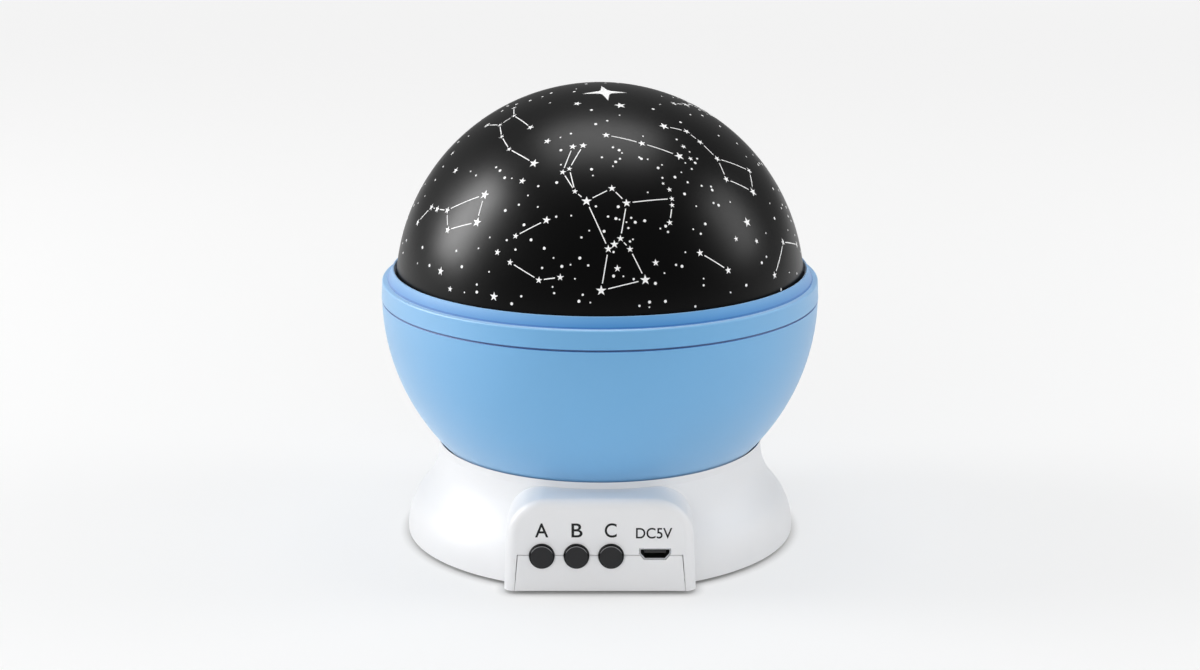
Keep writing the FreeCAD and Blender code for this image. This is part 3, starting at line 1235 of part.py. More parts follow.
def lead(label, radius, stops):
    """A round lead along straight runs that are joined by tangent arcs, each as large as its runs allow."""
    points = [Vector(*(measure(text) for text in stop)) for stop in stops]
    edges, start = [], points[0]
    for before, corner, after in zip(points, points[1:], points[2:]):
        back, ahead = before - corner, after - corner
        half_turn = (math.pi - back.getAngle(ahead)) / 2
        cut = 0.45 * min(back.Length, ahead.Length)
        bend = cut / math.tan(half_turn)
        back.normalize()
        ahead.normalize()
        first, last = corner + back * cut, corner + ahead * cut
        inward = (back + ahead).normalize()
        middle = corner + inward * (bend / math.cos(half_turn) - bend)
        edges += [Part.LineSegment(start, first).toShape(), Part.Arc(first, middle, last).toShape()]
        start = last
        print(f"{label}: bend radius {bend:.1f}")
    edges.append(Part.LineSegment(start, points[-1]).toShape())
    path = Part.Wire(edges)
    section = Part.Wire(Part.makeCircle(measure(radius), points[0], points[1] - points[0]))
    tube = path.makePipeShell([section], True, False)
    filled = tube.Volume / (math.pi * measure(radius) ** 2 * path.Length)
    print(f"{label}: length {path.Length:.0f}, volume against section times length {filled:.3f}")
    made = doc.addObject("Part::Feature", label)
    made.Shape = tube
    return node(label, made)


BOARD_Y = f"-{BOARD_BACK}"
lead("lamp_lead", "lamp_lead_radius", [
    ("0", "0", HOLDER_TOP), ("0", "0", "lead_height"), ("motor_radius + 4.7", "-9", "lead_height"),
    ("motor_radius + 4.7", f"{MOTOR_Y} - 6", "lead_height"), ("10", f"{BOARD_Y} + 5.1", "lead_height - 1"),
    ("10", BOARD_Y, "lead_height - 1"),
])
NEGATIVE_Y, POSITIVE_Y = CELL_PLACES[0], CELL_PLACES[3]
lead("battery_lead_minus", "lead_radius", [
    (TAIL_X, NEGATIVE_Y, TAIL_TOP), (TAIL_X, NEGATIVE_Y, "lead_height + 0.9"),
    (TAIL_X, "-14", "lead_height + 0.9"), ("-18.6", f"{BOARD_Y} + 10.1", "lead_height - 0.5"),
    ("-15.5", f"{BOARD_Y} + 4.6", "lead_height - 0.5"), ("-15.5", BOARD_Y, "lead_height - 0.5"),
])
lead("battery_lead_plus", "lead_radius", [
    (TAIL_X, POSITIVE_Y, TAIL_TOP), (TAIL_X, POSITIVE_Y, "lead_height + 0.9"),
    ("-17.5", "20", "lead_height + 0.6"), ("-15.2", "-10", "lead_height + 0.4"),
    ("-15.2", f"{MOTOR_Y} - 6", "lead_height - 0.2"), ("-12", f"{BOARD_Y} + 5.1", "lead_height - 1"),
    ("-12", BOARD_Y, "lead_height - 1"),
])
for number, side in enumerate(("-", "")):
    LEAD_Z = f"({TERMINAL_FOOT} + terminal_height / 2)"
    lead(f"motor_lead_{number + 1}", "lead_radius", [(f"{side}2", TERMINAL_FRONT, LEAD_Z), (f"{side}2", BOARD_Y, LEAD_Z)])

doc.recompute()
for made in doc.Objects:
    if "Invalid" in made.State or "Error" in made.State:
        raise RuntimeError(f"{made.Label} could not be made: {made.State}")
os.makedirs("parts", exist_ok=True)
for label, made in nodes.items():
    shape = made.Shape
    if shape.isNull() or not shape.isValid() or not shape.Solids:
        raise RuntimeError(f"{label} is not a valid solid")
    shape.exportStep(f"parts/{label}.step")
    print(f"{label}: {len(shape.Solids)} solids, {shape.Volume:.1f} mm3")
print(f"{len(nodes)} sub-parts")
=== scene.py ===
# %% [markdown]
# # A table-top star projector
# A blue bowl turns on a white stand and carries a black dome with a printed star map. A small
# gear motor in the stand turns the bowl, and four small lamps shine up into the dome.
# The solids come ready-made in one fixed frame. This lesson adds what solids don't hold: finishes,
# the star print, the marks on the control box, the coiled springs, light and a camera.

# %% Load the frame
import math

import bmesh
import bpy
import numpy as np
from mathutils import Matrix, Vector


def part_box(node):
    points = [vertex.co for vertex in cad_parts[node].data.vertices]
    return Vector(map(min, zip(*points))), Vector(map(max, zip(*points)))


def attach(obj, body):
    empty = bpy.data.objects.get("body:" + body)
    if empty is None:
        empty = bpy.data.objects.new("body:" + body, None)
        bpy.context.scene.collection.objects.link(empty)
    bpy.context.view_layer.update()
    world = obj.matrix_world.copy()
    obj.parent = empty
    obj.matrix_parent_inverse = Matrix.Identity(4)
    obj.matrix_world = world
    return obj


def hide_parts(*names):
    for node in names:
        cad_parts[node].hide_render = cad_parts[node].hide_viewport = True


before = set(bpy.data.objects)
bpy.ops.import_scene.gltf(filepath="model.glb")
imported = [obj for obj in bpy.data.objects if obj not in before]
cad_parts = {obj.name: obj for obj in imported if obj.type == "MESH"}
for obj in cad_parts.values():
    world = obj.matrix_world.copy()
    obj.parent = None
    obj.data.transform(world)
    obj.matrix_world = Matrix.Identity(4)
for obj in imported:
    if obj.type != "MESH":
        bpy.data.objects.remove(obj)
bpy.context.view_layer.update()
MM = 0.001

# %% [markdown]
# ## The camera
# The photograph looks down on the projector from a little above, with a long lens that keeps the
# sphere round. Lens, height and tilt were worked out once from the dome's outline, the ring's edge
# around it, the seam below and the stand's foot, and stay fixed here, so that every later piece can
# be compared.

# %% Set the camera
CAMERA_PLACE = Vector((0.0, -0.67673, 0.24058))
CAMERA_TILT = math.radians(74.89)
LENS = 72.72
PICTURE = (1200, 670)
SENSOR = 36.0

camera_data = bpy.data.cameras.new("camera")
camera_data.lens = LENS
camera_data.sensor_width = SENSOR
camera_data.clip_start = 0.01
camera = bpy.data.objects.new("camera", camera_data)
camera.location = CAMERA_PLACE
camera.rotation_euler = (CAMERA_TILT, 0.0, 0.0)
bpy.context.collection.objects.link(camera)
bpy.context.scene.camera = camera
bpy.context.scene.view_settings.view_transform = "Standard"
print("camera", round(LENS, 2), "mm lens,", round(CAMERA_PLACE.length, 3), "m from the middle")

# %% [markdown]
# ## Sums on shader sockets
# A finish is a tree of nodes, and most of its nodes are plain sums. Wrapping a socket in a small
# class lets Python's own operators add the Math nodes, so that a finish reads like a formula.
# Every other node comes from the one method `add`, which sets its options before its sockets.

# %% Make the socket wrapper
class Wire:
    """An output socket that Python's operators can work on."""

    def __init__(self, socket):
        self.socket = socket
        self.tree = socket.id_data

    @staticmethod
    def add(tree, kind, settings, inputs, output=0):
        """Add one node and give back the output that is asked for."""
        node = tree.nodes.new(kind)
        for name, value in settings.items():
            setattr(node, name, value)
        for name, value in inputs.items():
            if isinstance(value, Wire):
                tree.links.new(value.socket, node.inputs[name])
            else:
                node.inputs[name].default_value = value
        return Wire(node.outputs[output]) if node.outputs else None

    def then(self, operation, other=0.0):
        """One Math node with this socket first, such as SINE, MINIMUM or MODULO."""
        inputs = {0: self, 1: other}
        return Wire.add(self.tree, "ShaderNodeMath", {"operation": operation}, inputs)

    def __abs__(self):
        return self.then("ABSOLUTE")

    def __add__(self, other):
        return self.then("ADD", other)

    def __radd__(self, other):
        return self.then("ADD", other)

    def __sub__(self, other):
        return self.then("SUBTRACT", other)

    def __rsub__(self, other):
        inputs = {0: other, 1: self}
        return Wire.add(self.tree, "ShaderNodeMath", {"operation": "SUBTRACT"}, inputs)

    def __mul__(self, other):
        return self.then("MULTIPLY", other)

    def __gt__(self, other):
        return self.then("GREATER_THAN", other)


print("socket sums ready")

# %% [markdown]
# ## Shared steps of every finish
# Real mouldings are never one flat colour: the shade drifts a little, and the gloss breaks up over
# the fine texture of the mould. So each finish starts from the place on the piece in metres, takes
# a fine and a broad noise there, and lets them touch colour, roughness and relief.

# %% Make the shared steps
def paint(red, green, blue):
    """A colour as it is read on a screen, from 0 to 255, as the renderer's linear colour."""
    return tuple((value / 255.0) ** 2.2 for value in (red, green, blue)) + (1.0,)


def shaded(colour, share):
    """A colour made darker or lighter by a share."""
    return tuple(min(1.0, value * share) for value in colour[:3]) + (1.0,)


def new_tree(name):
    material = bpy.data.materials.new(name)
    material.use_nodes = True
    material.node_tree.nodes.clear()
    return material, material.node_tree


def place_on(tree):
    return Wire.add(tree, "ShaderNodeTexCoord", {}, {}, "Object")


def axis_of(vector, number):
    """One axis of a vector: 0, 1 or 2 for X, Y or Z."""
    return Wire.add(vector.tree, "ShaderNodeSeparateXYZ", {}, {0: vector}, number)


def vector_sum(operation, inputs, output=0):
    """One vector Math node, in the tree of its first input. LENGTH comes out at output 1."""
    settings = {"operation": operation}
    return Wire.add(inputs[0].tree, "ShaderNodeVectorMath", settings, inputs, output)


def noise_on(place, size_mm, detail=2.0):
    """Soft noise whose spots are about size_mm across, from 0 to 1."""
    inputs = {"Vector": place, "Scale": 1.0 / (size_mm * MM), "Detail": detail}
    return Wire.add(place.tree, "ShaderNodeTexNoise", {}, inputs)


def mixed(factor, low, high):
    """The colour low where the factor is 0, and high where it is 1."""
    settings = {"data_type": "RGBA"}
    return Wire.add(factor.tree, "ShaderNodeMix", settings, {0: factor, 6: low, 7: high}, 2)


def relief(height, strength, depth_mm=0.03):
    inputs = {"Height": height, "Strength": strength, "Distance": depth_mm * MM}
    return Wire.add(height.tree, "ShaderNodeBump", {}, inputs)


def finish_with(tree, inputs):
    shader = Wire.add(tree, "ShaderNodeBsdfPrincipled", {}, inputs)
    Wire.add(tree, "ShaderNodeOutputMaterial", {}, {"Surface": shader})


print("shared steps ready")

# %% [markdown]
# ## Moulded plastic
# Nearly all of the projector is moulded: the stand in white, the bowl and ring in sky blue, the
# dome in black, the buttons in charcoal. One function makes most of them, because they differ only
# in colour, gloss and how strongly the mould's fine texture shows. The bowl and the buttons change
# from place to place, so each has a function of its own further down.

# %% Make the plastics
BROAD_SPOTS = 28.0
BROAD_GLOSS = 0.10
FINE_GLOSS = 0.08


def uneven(rough, broad, fine):
    """Roughness that drifts over a moulding and breaks up over its fine texture."""
    return rough + (broad - 0.5) * BROAD_GLOSS + (fine - 0.5) * FINE_GLOSS


def moulded(name, colour, rough, grain_mm=0.35, strength=0.15, drift=0.04, **constants):
    """A plastic with fine mould texture, a slight drift of shade and uneven gloss."""
    material, tree = new_tree(name)
    place = place_on(tree)
    fine = noise_on(place, grain_mm)
    broad = noise_on(place, BROAD_SPOTS, 3.0)
    shade = mixed(broad, shaded(colour, 1.0 - drift), shaded(colour, 1.0 + drift))
    inputs = {"Base Color": shade, "Roughness": uneven(rough, broad, fine)}
    inputs["Normal"] = relief(fine, strength)
    inputs.update(constants)
    finish_with(tree, inputs)
    return material


CASE_GLOSS = {"Specular IOR Level": 0.35}
DOME_GLOSS = {"Specular IOR Level": 0.14}
finishes = {
    "case_white": moulded("case_white", paint(236, 236, 237), 0.48, 0.6, 0.12, 0.012, **CASE_GLOSS),
    "dome_black": moulded("dome_black", paint(5, 5, 6), 0.34, 0.6, 0.06, 0.15, **DOME_GLOSS),
    "inner_white": moulded("inner_white", paint(226, 227, 229), 0.5),
    "black_plastic": moulded("black_plastic", paint(30, 30, 32), 0.42),
    "grey_plastic": moulded("grey_plastic", paint(150, 152, 156), 0.45),
    "acetal": moulded("acetal", paint(236, 233, 222), 0.33),
    "foot_rubber": moulded("foot_rubber", paint(62, 63, 66), 0.8, 0.4, 0.5, 0.08),
    "lead_red": moulded("lead_red", paint(176, 34, 30), 0.38, 0.3, 0.1),
    "lead_black": moulded("lead_black", paint(28, 28, 30), 0.4, 0.3, 0.1),
    "lead_white": moulded("lead_white", paint(226, 226, 222), 0.4, 0.3, 0.1),
}
print("plastics:", len(finishes))

# %% [markdown]
# The bowl and its ring are one blue. Little light reaches the seam between them or the corner of
# the ring's step, and the sloped lip above lies in the black dome's shade, so painted shade makes
# the blue deeper there. The level on the piece decides how deep it is.

# %% Make the bowl's finish
BOWL_BLUE = paint(104, 170, 220)
# Deeper blues for the painted shade on the lip and in the seam.
LIP_SHADE_BLUE = paint(52, 132, 200)
SEAM_SHADE_BLUE = paint(6, 100, 176)
SEAM_LEVEL = 70.25
SEAM_HALF = 0.33
STEP_LEVEL = 75.78
CORNER_HALF = 0.22
CORNER_SHADE_DEPTH = 0.7
LIP_FADE = 0.2
LIP_ROUGHER = 0.28
BOWL_ROUGH = 0.56
BOWL_GLOSS = {"Specular IOR Level": 0.9, "Sheen Weight": 0.45, "Sheen Roughness": 0.5}


def bowl_finish():
    """Sky blue with painted shade where little light comes in. Levels are in millimetres."""
    material, tree = new_tree("bowl_blue")
    place = place_on(tree)
    fine = noise_on(place, 0.5)
    broad = noise_on(place, BROAD_SPOTS, 3.0)
    level = axis_of(place, 2) * (1.0 / MM)
    above = level - STEP_LEVEL
    lip = (above > 0.0) * (1.0 - above * LIP_FADE)
    corner = 1.0 - (abs(above - CORNER_HALF) > CORNER_HALF)
    seam = 1.0 - (abs(level - SEAM_LEVEL) > SEAM_HALF)
    plain = mixed(broad, shaded(BOWL_BLUE, 0.97), shaded(BOWL_BLUE, 1.03))
    # The seam band, the step's corner and the lip get painted shade: a deeper blue where little light
    # falls.
    colour = mixed(corner * CORNER_SHADE_DEPTH + seam, mixed(lip, plain, LIP_SHADE_BLUE), SEAM_SHADE_BLUE)
    rough = uneven(lip * LIP_ROUGHER + BOWL_ROUGH, broad, fine)
    inputs = {"Base Color": colour, "Roughness": rough, "Normal": relief(fine, 0.10)}
    inputs.update(BOWL_GLOSS)
    finish_with(tree, inputs)
    return material


finishes["bowl_blue"] = bowl_finish()
print("bowl finish made")

# %% [markdown]
# The three buttons are moulded in charcoal. The crown faces the camera and shows that charcoal.
# The side stands in the shade of the panel and is painted nearly black as painted shade, and the
# upper half of the rounded edge between them gets a thin painted highlight. So the colour follows
# the way the surface faces.

# %% Make the button finish
CROWN_FROM = 0.88
GLINT_FROM = 0.80
GLINT_TO = 0.95
GLINT_UP = 0.2


def button_finish():
    """Charcoal by how squarely the surface faces the front, from 0 for the side to 1, with painted
    shade on the side and a painted highlight on the upper rounded edge.
    """
    material, tree = new_tree("button_charcoal")
    fine = noise_on(place_on(tree), 0.3)
    normal = Wire.add(tree, "ShaderNodeNewGeometry", {}, {}, "Normal")
    front = abs(axis_of(normal, 1))
    painted_glint = (front > GLINT_FROM) * (GLINT_TO - front > 0.0) * (axis_of(normal, 2) > GLINT_UP)
    # The side is painted nearly black as painted shade, and the mix below adds a painted highlight on
    # the upper rounded edge.
    colour = mixed(front > CROWN_FROM, paint(3, 3, 4), paint(51, 51, 52))
    colour = mixed(painted_glint * 0.5, colour, paint(180, 180, 182))
    inputs = {"Base Color": colour, "Roughness": 0.32 + fine * 0.08, "Normal": relief(fine, 0.15)}
    inputs["Specular IOR Level"] = 0.12
    finish_with(tree, inputs)
    return material


finishes["button_charcoal"] = button_finish()
print("button finish made")

# %% [markdown]
# ## Metal, board and lamps
# Screws and springs are bright metal with fine scratches, the socket's shell is dull tin plate,
# and the felt pads, circuit boards, cell jackets and epoxy lamps each have a look of their own.
# Most of them sit inside, but they show as soon as someone opens a body in another program.

# %% Make the metals
def metal(name, colour, rough, grain_mm=0.2):
    """A plated metal with fine handling marks."""
    material, tree = new_tree(name)
    place = place_on(tree)
    marks = noise_on(place, grain_mm, 4.0)
    cloud = noise_on(place, 4.0, 2.0)
    gloss = rough + (marks - 0.5) * 0.20 + (cloud - 0.5) * 0.10
    inputs = {"Base Color": mixed(cloud, shaded(colour, 0.88), shaded(colour, 1.06))}
    inputs.update({"Metallic": 1.0, "Roughness": gloss, "Normal": relief(marks, 0.12, 0.01)})
    finish_with(tree, inputs)
    return material


finishes["steel"] = metal("steel", paint(186, 187, 190), 0.30)
finishes["nickel"] = metal("nickel", paint(205, 203, 198), 0.22)
finishes["tinned_shell"] = metal("tinned_shell", paint(188, 190, 193), 0.34, 0.4)
print("metals: steel, nickel, tinned_shell")

# %% Make the board, felt and cell finishes
def board_finish():
    """Green solder mask over a woven glass base, with copper planes just showing through."""
    material, tree = new_tree("board_green")
    place = place_on(tree)
    weave = {"Vector": place, "Scale": 900.0, "Distortion": 0.6}
    threads = Wire.add(tree, "ShaderNodeTexWave", {}, weave, 1)
    copper = noise_on(place, 5.0, 0.0) > 0.52
    colour = mixed(copper, paint(18, 84, 52), paint(30, 112, 66))
    bump = relief(threads * 0.5 + copper, 0.3, 0.02)
    finish_with(tree, {"Base Color": colour, "Roughness": 0.32 + threads * 0.1, "Normal": bump})
    return material


def felt_finish():
    material, tree = new_tree("felt")
    place = place_on(tree)
    hairs = noise_on(place, 0.25, 6.0)
    colour = mixed(hairs, paint(60, 60, 64), paint(104, 104, 108))
    inputs = {"Base Color": colour, "Roughness": 0.9 + hairs * 0.1, "Normal": relief(hairs, 0.9, 0.2)}
    inputs.update({"Sheen Weight": 0.4, "Sheen Roughness": 0.5})
    finish_with(tree, inputs)
    return material


BARE_END = 2.2 * MM
GOLD_BAND = 9.0 * MM


def cell_finish(half_length):
    """A printed film jacket that leaves the two steel ends of the cell bare."""
    material, tree = new_tree("cell_jacket")
    place = place_on(tree)
    distance = abs(axis_of(place, 0))
    bare = distance > half_length - BARE_END
    band = (distance > half_length - BARE_END - GOLD_BAND) * (1.0 - bare)
    marks = noise_on(place, 0.5, 3.0)
    jacket = mixed(band, paint(52, 66, 82), paint(196, 170, 96))
    colour = mixed(bare, jacket, paint(196, 196, 198))
    inputs = {"Base Color": colour, "Metallic": bare, "Roughness": 0.28 + marks * 0.12}
    inputs["Normal"] = relief(marks, 0.08)
    finish_with(tree, inputs)
    return material


cell_low, cell_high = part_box("aaa_cell_1")
finishes["board_green"] = board_finish()
finishes["felt"] = felt_finish()
finishes["cell_jacket"] = cell_finish((cell_high.x - cell_low.x) / 2.0)
print("board, felt and cell finishes made")

# %% Make the lamp finishes
def lamp_finish(name, colour):
    """Epoxy of a small lamp: clear resin, a little tinted, slightly uneven where it was cast."""
    material, tree = new_tree(name)
    flow = noise_on(place_on(tree), 2.0)
    inputs = {"Base Color": mixed(flow, shaded(colour, 0.92), colour), "Normal": relief(flow, 0.1)}
    inputs.update({"Roughness": 0.06 + flow * 0.06, "IOR": 1.53, "Transmission Weight": 0.85})
    finish_with(tree, inputs)
    return material


lamp_colours = {
    "lamp_clear": (236, 236, 230),
    "lamp_red": (226, 60, 48),
    "lamp_green": (70, 190, 90),
    "lamp_blue": (70, 110, 220),
}
for name, colour in lamp_colours.items():
    finishes[name] = lamp_finish(name, paint(*colour))
print("lamp finishes:", len(lamp_colours))

# %% Dress the solids
dressed = 0
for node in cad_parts.values():
    for holder in node.material_slots:
        holder.material = finishes[holder.material.name]
        dressed += 1
print("finishes given:", dressed)

# %% [markdown]
# ## Geometry node trees in code
# What repeats, or follows a rule, is grown by a node tree: the round dome, the printed marks, the
# figure lines and the springs. Each tree names its sizes as inputs. Running one on a mesh and
# keeping the plain result leaves nothing live behind, and every tree ends by realizing its
# instances and giving them their finish.

# %% Make the tree helpers
def geometry_tree(name, sizes):
    """A new tree with a geometry in and out, and one named input for each size."""
    tree = bpy.data.node_groups.new(name, "GeometryNodeTree")
    faces = tree.interface
    faces.new_socket("Geometry", in_out="INPUT", socket_type="NodeSocketGeometry")
    faces.new_socket("Geometry", in_out="OUTPUT", socket_type="NodeSocketGeometry")
    for title, value in sizes.items():
        kind = "NodeSocketInt" if isinstance(value, int) else "NodeSocketFloat"
        faces.new_socket(title, in_out="INPUT", socket_type=kind).default_value = value
    inlet = tree.nodes.new("NodeGroupInput")
    return tree, {socket.name: Wire(socket) for socket in inlet.outputs if socket.name}


def end_tree(tree, geometry, finish):
    """Realize the instances, give them their finish and lead them out."""
    whole = Wire.add(tree, "GeometryNodeRealizeInstances", {}, {"Geometry": geometry})
    inputs = {"Geometry": whole, "Material": finishes[finish]}
    coated = Wire.add(tree, "GeometryNodeSetMaterial", {}, inputs)
    Wire.add(tree, "NodeGroupOutput", {}, {"Geometry": coated})


def grown(name, mesh, tree, sizes):
    """Run a tree on a mesh with these sizes, and keep the plain result."""
    piece = bpy.data.objects.new(name, mesh)
    bpy.context.collection.objects.link(piece)
    modifier = piece.modifiers.new("grow", "NODES")
    modifier.node_group = tree
    for item in tree.interface.items_tree:
        if item.in_out == "INPUT" and item.name in sizes:
            modifier[item.identifier] = sizes[item.name]
    bpy.context.view_layer.update()
    ready = piece.evaluated_get(bpy.context.evaluated_depsgraph_get())
    result = bpy.data.meshes.new_from_object(ready)
    piece.modifiers.remove(modifier)
    piece.data = result
    return piece


def smoothed(piece, angle=35.0):
    """Shade a piece smooth, but keep the edges that turn by more than the angle."""
    piece.data.shade_smooth()
    piece.data.set_sharp_from_angle(angle=math.radians(angle))
    return piece


def outward(piece):
    """Recalculate the normals, so that every face of a closed piece points outwards."""
    work = bmesh.new()
    work.from_mesh(piece.data)
    bmesh.ops.recalc_face_normals(work, faces=work.faces)
    work.to_mesh(piece.data)
    work.free()
    return piece


print("tree helpers ready")

# %% [markdown]
# ## The dome
# The real dome is one thin black moulding, a little more than half a sphere, and soft broad
# reflections show its curve. Flat facets would break them up, so it is grown from a formula: a flat
# grid whose one side becomes the turn and whose other side runs down the outside and up the
# inside. Merging doubles closes the seam and the two poles. Its skin lies a hair under the
# solid's, which leaves room for the print on top.

# %% Grow the dome
PRINT_DEPTH = 0.05 * MM
PRINT_TOP = 0.01 * MM
DOME_WALL = 1.5 * MM
DOME_AROUND = 257
DOME_ALONG = 160

dome_low, dome_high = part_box("star_dome")
dome_radius = (dome_high.x - dome_low.x) / 2.0
dome_middle = Vector((0.0, 0.0, dome_high.z - dome_radius))
skin_radius = dome_radius - PRINT_TOP - PRINT_DEPTH
foot_angle = math.acos((dome_low.z - dome_middle.z) / dome_radius)


def round_shell():
    sizes = {"Outside": 0.05, "Wall": 0.001, "Middle": 0.0, "Foot angle": 1.5}
    tree, size = geometry_tree("round_shell", {**sizes, "Around": 64, "Along": 32})
    counts = {"Vertices X": size["Around"], "Vertices Y": size["Along"]}
    grid = Wire.add(tree, "GeometryNodeMeshGrid", {}, {"Size X": 1.0, "Size Y": 1.0, **counts})
    spot = Wire.add(tree, "GeometryNodeInputPosition", {}, {})
    turn = (axis_of(spot, 0) + 0.5) * math.tau
    share = axis_of(spot, 1)
    polar = (1.0 - abs(share * 2.0)) * size["Foot angle"]
    radius = size["Outside"] - (share > 0.0) * size["Wall"]
    level = radius * polar.then("SINE")
    axes = {"X": level * turn.then("COSINE"), "Y": level * turn.then("SINE")}
    axes["Z"] = size["Middle"] + radius * polar.then("COSINE")
    place = Wire.add(tree, "ShaderNodeCombineXYZ", {}, axes)
    moved = Wire.add(tree, "GeometryNodeSetPosition", {}, {"Geometry": grid, "Position": place})
    inputs = {"Geometry": moved, "Distance": 0.001 * MM}
    closed = Wire.add(tree, "GeometryNodeMergeByDistance", {}, inputs)
    end_tree(tree, closed, "dome_black")
    return tree


dome_sizes = {"Outside": skin_radius, "Wall": DOME_WALL, "Middle": dome_middle.z}
dome_sizes.update({"Foot angle": foot_angle, "Around": DOME_AROUND, "Along": DOME_ALONG})
dome_skin = grown("dome_skin", bpy.data.meshes.new("dome_skin"), round_shell(), dome_sizes)
smoothed(outward(dome_skin))
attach(dome_skin, "dome")
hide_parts("star_dome")
print("dome skin:", len(dome_skin.data.polygons), "faces, radius", round(dome_radius / MM, 2), "mm")

# %% [markdown]
# ## Where the stars are printed
# The print shows well-known star figures, each star a small five-pointed mark that stands upright,
# with fine lines between them and loose dots around. The ones in front are placed one by one: each
# pixel is sent from the camera onto the round dome, so that a mark lies flat on the skin wherever
# it is seen from. A row gives the pixel's column and row and the star's tip radius in millimetres,
# and a line joins two stars by their numbers.

# %% Read the front figures
BIG = 1.45
MEDIUM = 1.08
SMALL = 0.80
FRONT_STARS = [
    (620.2, 105.3, 1.6), (577.3, 103.5, 1.15), (514.0, 107.8, SMALL), (514.0, 115.7, SMALL),
    (530.5, 127.3, MEDIUM), (499.9, 124.9, SMALL), (487.0, 125.2, MEDIUM), (501.7, 136.5, SMALL),
    (509.1, 149.1, SMALL), (533.9, 163.2, BIG), (484.6, 194.7, BIG), (476.9, 222.2, BIG),
    (447.6, 229.9, MEDIUM), (447.2, 210.3, MEDIUM), (437.1, 209.1, MEDIUM), (431.3, 207.2, MEDIUM),
    (417.6, 222.5, MEDIUM), (586.5, 201.1, BIG), (626.6, 203.0, 1.25), (611.9, 188.3, MEDIUM),
    (608.3, 248.9, 1.15), (614.4, 244.3, 1.2), (620.5, 238.5, 1.0), (630.0, 249.2, 0.95),
    (601.2, 290.5, BIG), (645.3, 279.8, BIG), (671.9, 198.7, SMALL), (669.5, 189.5, SMALL),
    (663.1, 183.4, 0.5), (672.2, 205.1, SMALL), (669.8, 222.5, 0.9), (574.9, 191.3, 0.85),
    (569.4, 168.7, SMALL), (562.7, 172.0, 0.95), (572.8, 146.6, MEDIUM), (583.2, 145.4, MEDIUM),
    (617.4, 268.5, 1.0), (655.7, 262.7, 1.0), (606.1, 135.0, MEDIUM), (641.9, 143.3, MEDIUM),
    (679.3, 156.1, BIG), (690.6, 158.6, SMALL), (683.6, 146.6, SMALL), (664.0, 126.1, BIG),
    (686.6, 131.3, MEDIUM), (700.1, 142.0, MEDIUM), (717.2, 158.6, MEDIUM), (749.4, 170.8, MEDIUM),
    (753.1, 191.9, BIG), (726.4, 179.1, MEDIUM), (546.4, 220.1, 1.2), (515.5, 236.0, 0.9),
    (497.4, 252.2, 0.95), (510.0, 262.3, 0.95), (538.8, 280.1, 1.0), (560.2, 277.3, 1.0),
    (440.5, 271.2, 1.25), (493.8, 296.6, 1.3), (450.0, 289.0, 0.85), (522.2, 180.9, 1.05),
    (547.3, 141.1, MEDIUM), (455.5, 170.5, MEDIUM), (452.4, 153.1, SMALL), (700.1, 252.9, MEDIUM),
    (728.3, 270.3, MEDIUM), (747.2, 222.2, BIG), (736.2, 238.8, SMALL), (756.7, 241.2, SMALL),
    (796.8, 244.6, MEDIUM), (783.1, 242.1, MEDIUM), (774.8, 275.2, MEDIUM),
]
FRONT_LINES = [
    (2, 3), (3, 4), (3, 5), (5, 6), (5, 7), (7, 8), (8, 9), (10, 11), (11, 12), (12, 13), (13, 10),
    (13, 14), (14, 15), (15, 16), (17, 19), (19, 18), (18, 26), (17, 20), (18, 22), (20, 24),
    (24, 25), (25, 23), (23, 22), (17, 31), (31, 32), (32, 35), (31, 33), (33, 34), (26, 27),
    (27, 28), (29, 30), (38, 39), (39, 40), (43, 44), (44, 45), (45, 46), (46, 47), (47, 48),
    (48, 49), (49, 46), (50, 51), (53, 54), (54, 55), (63, 64), (68, 69), (69, 70),
]
FOUR_POINT_STAR = (604.9, 92.1, 6.2)
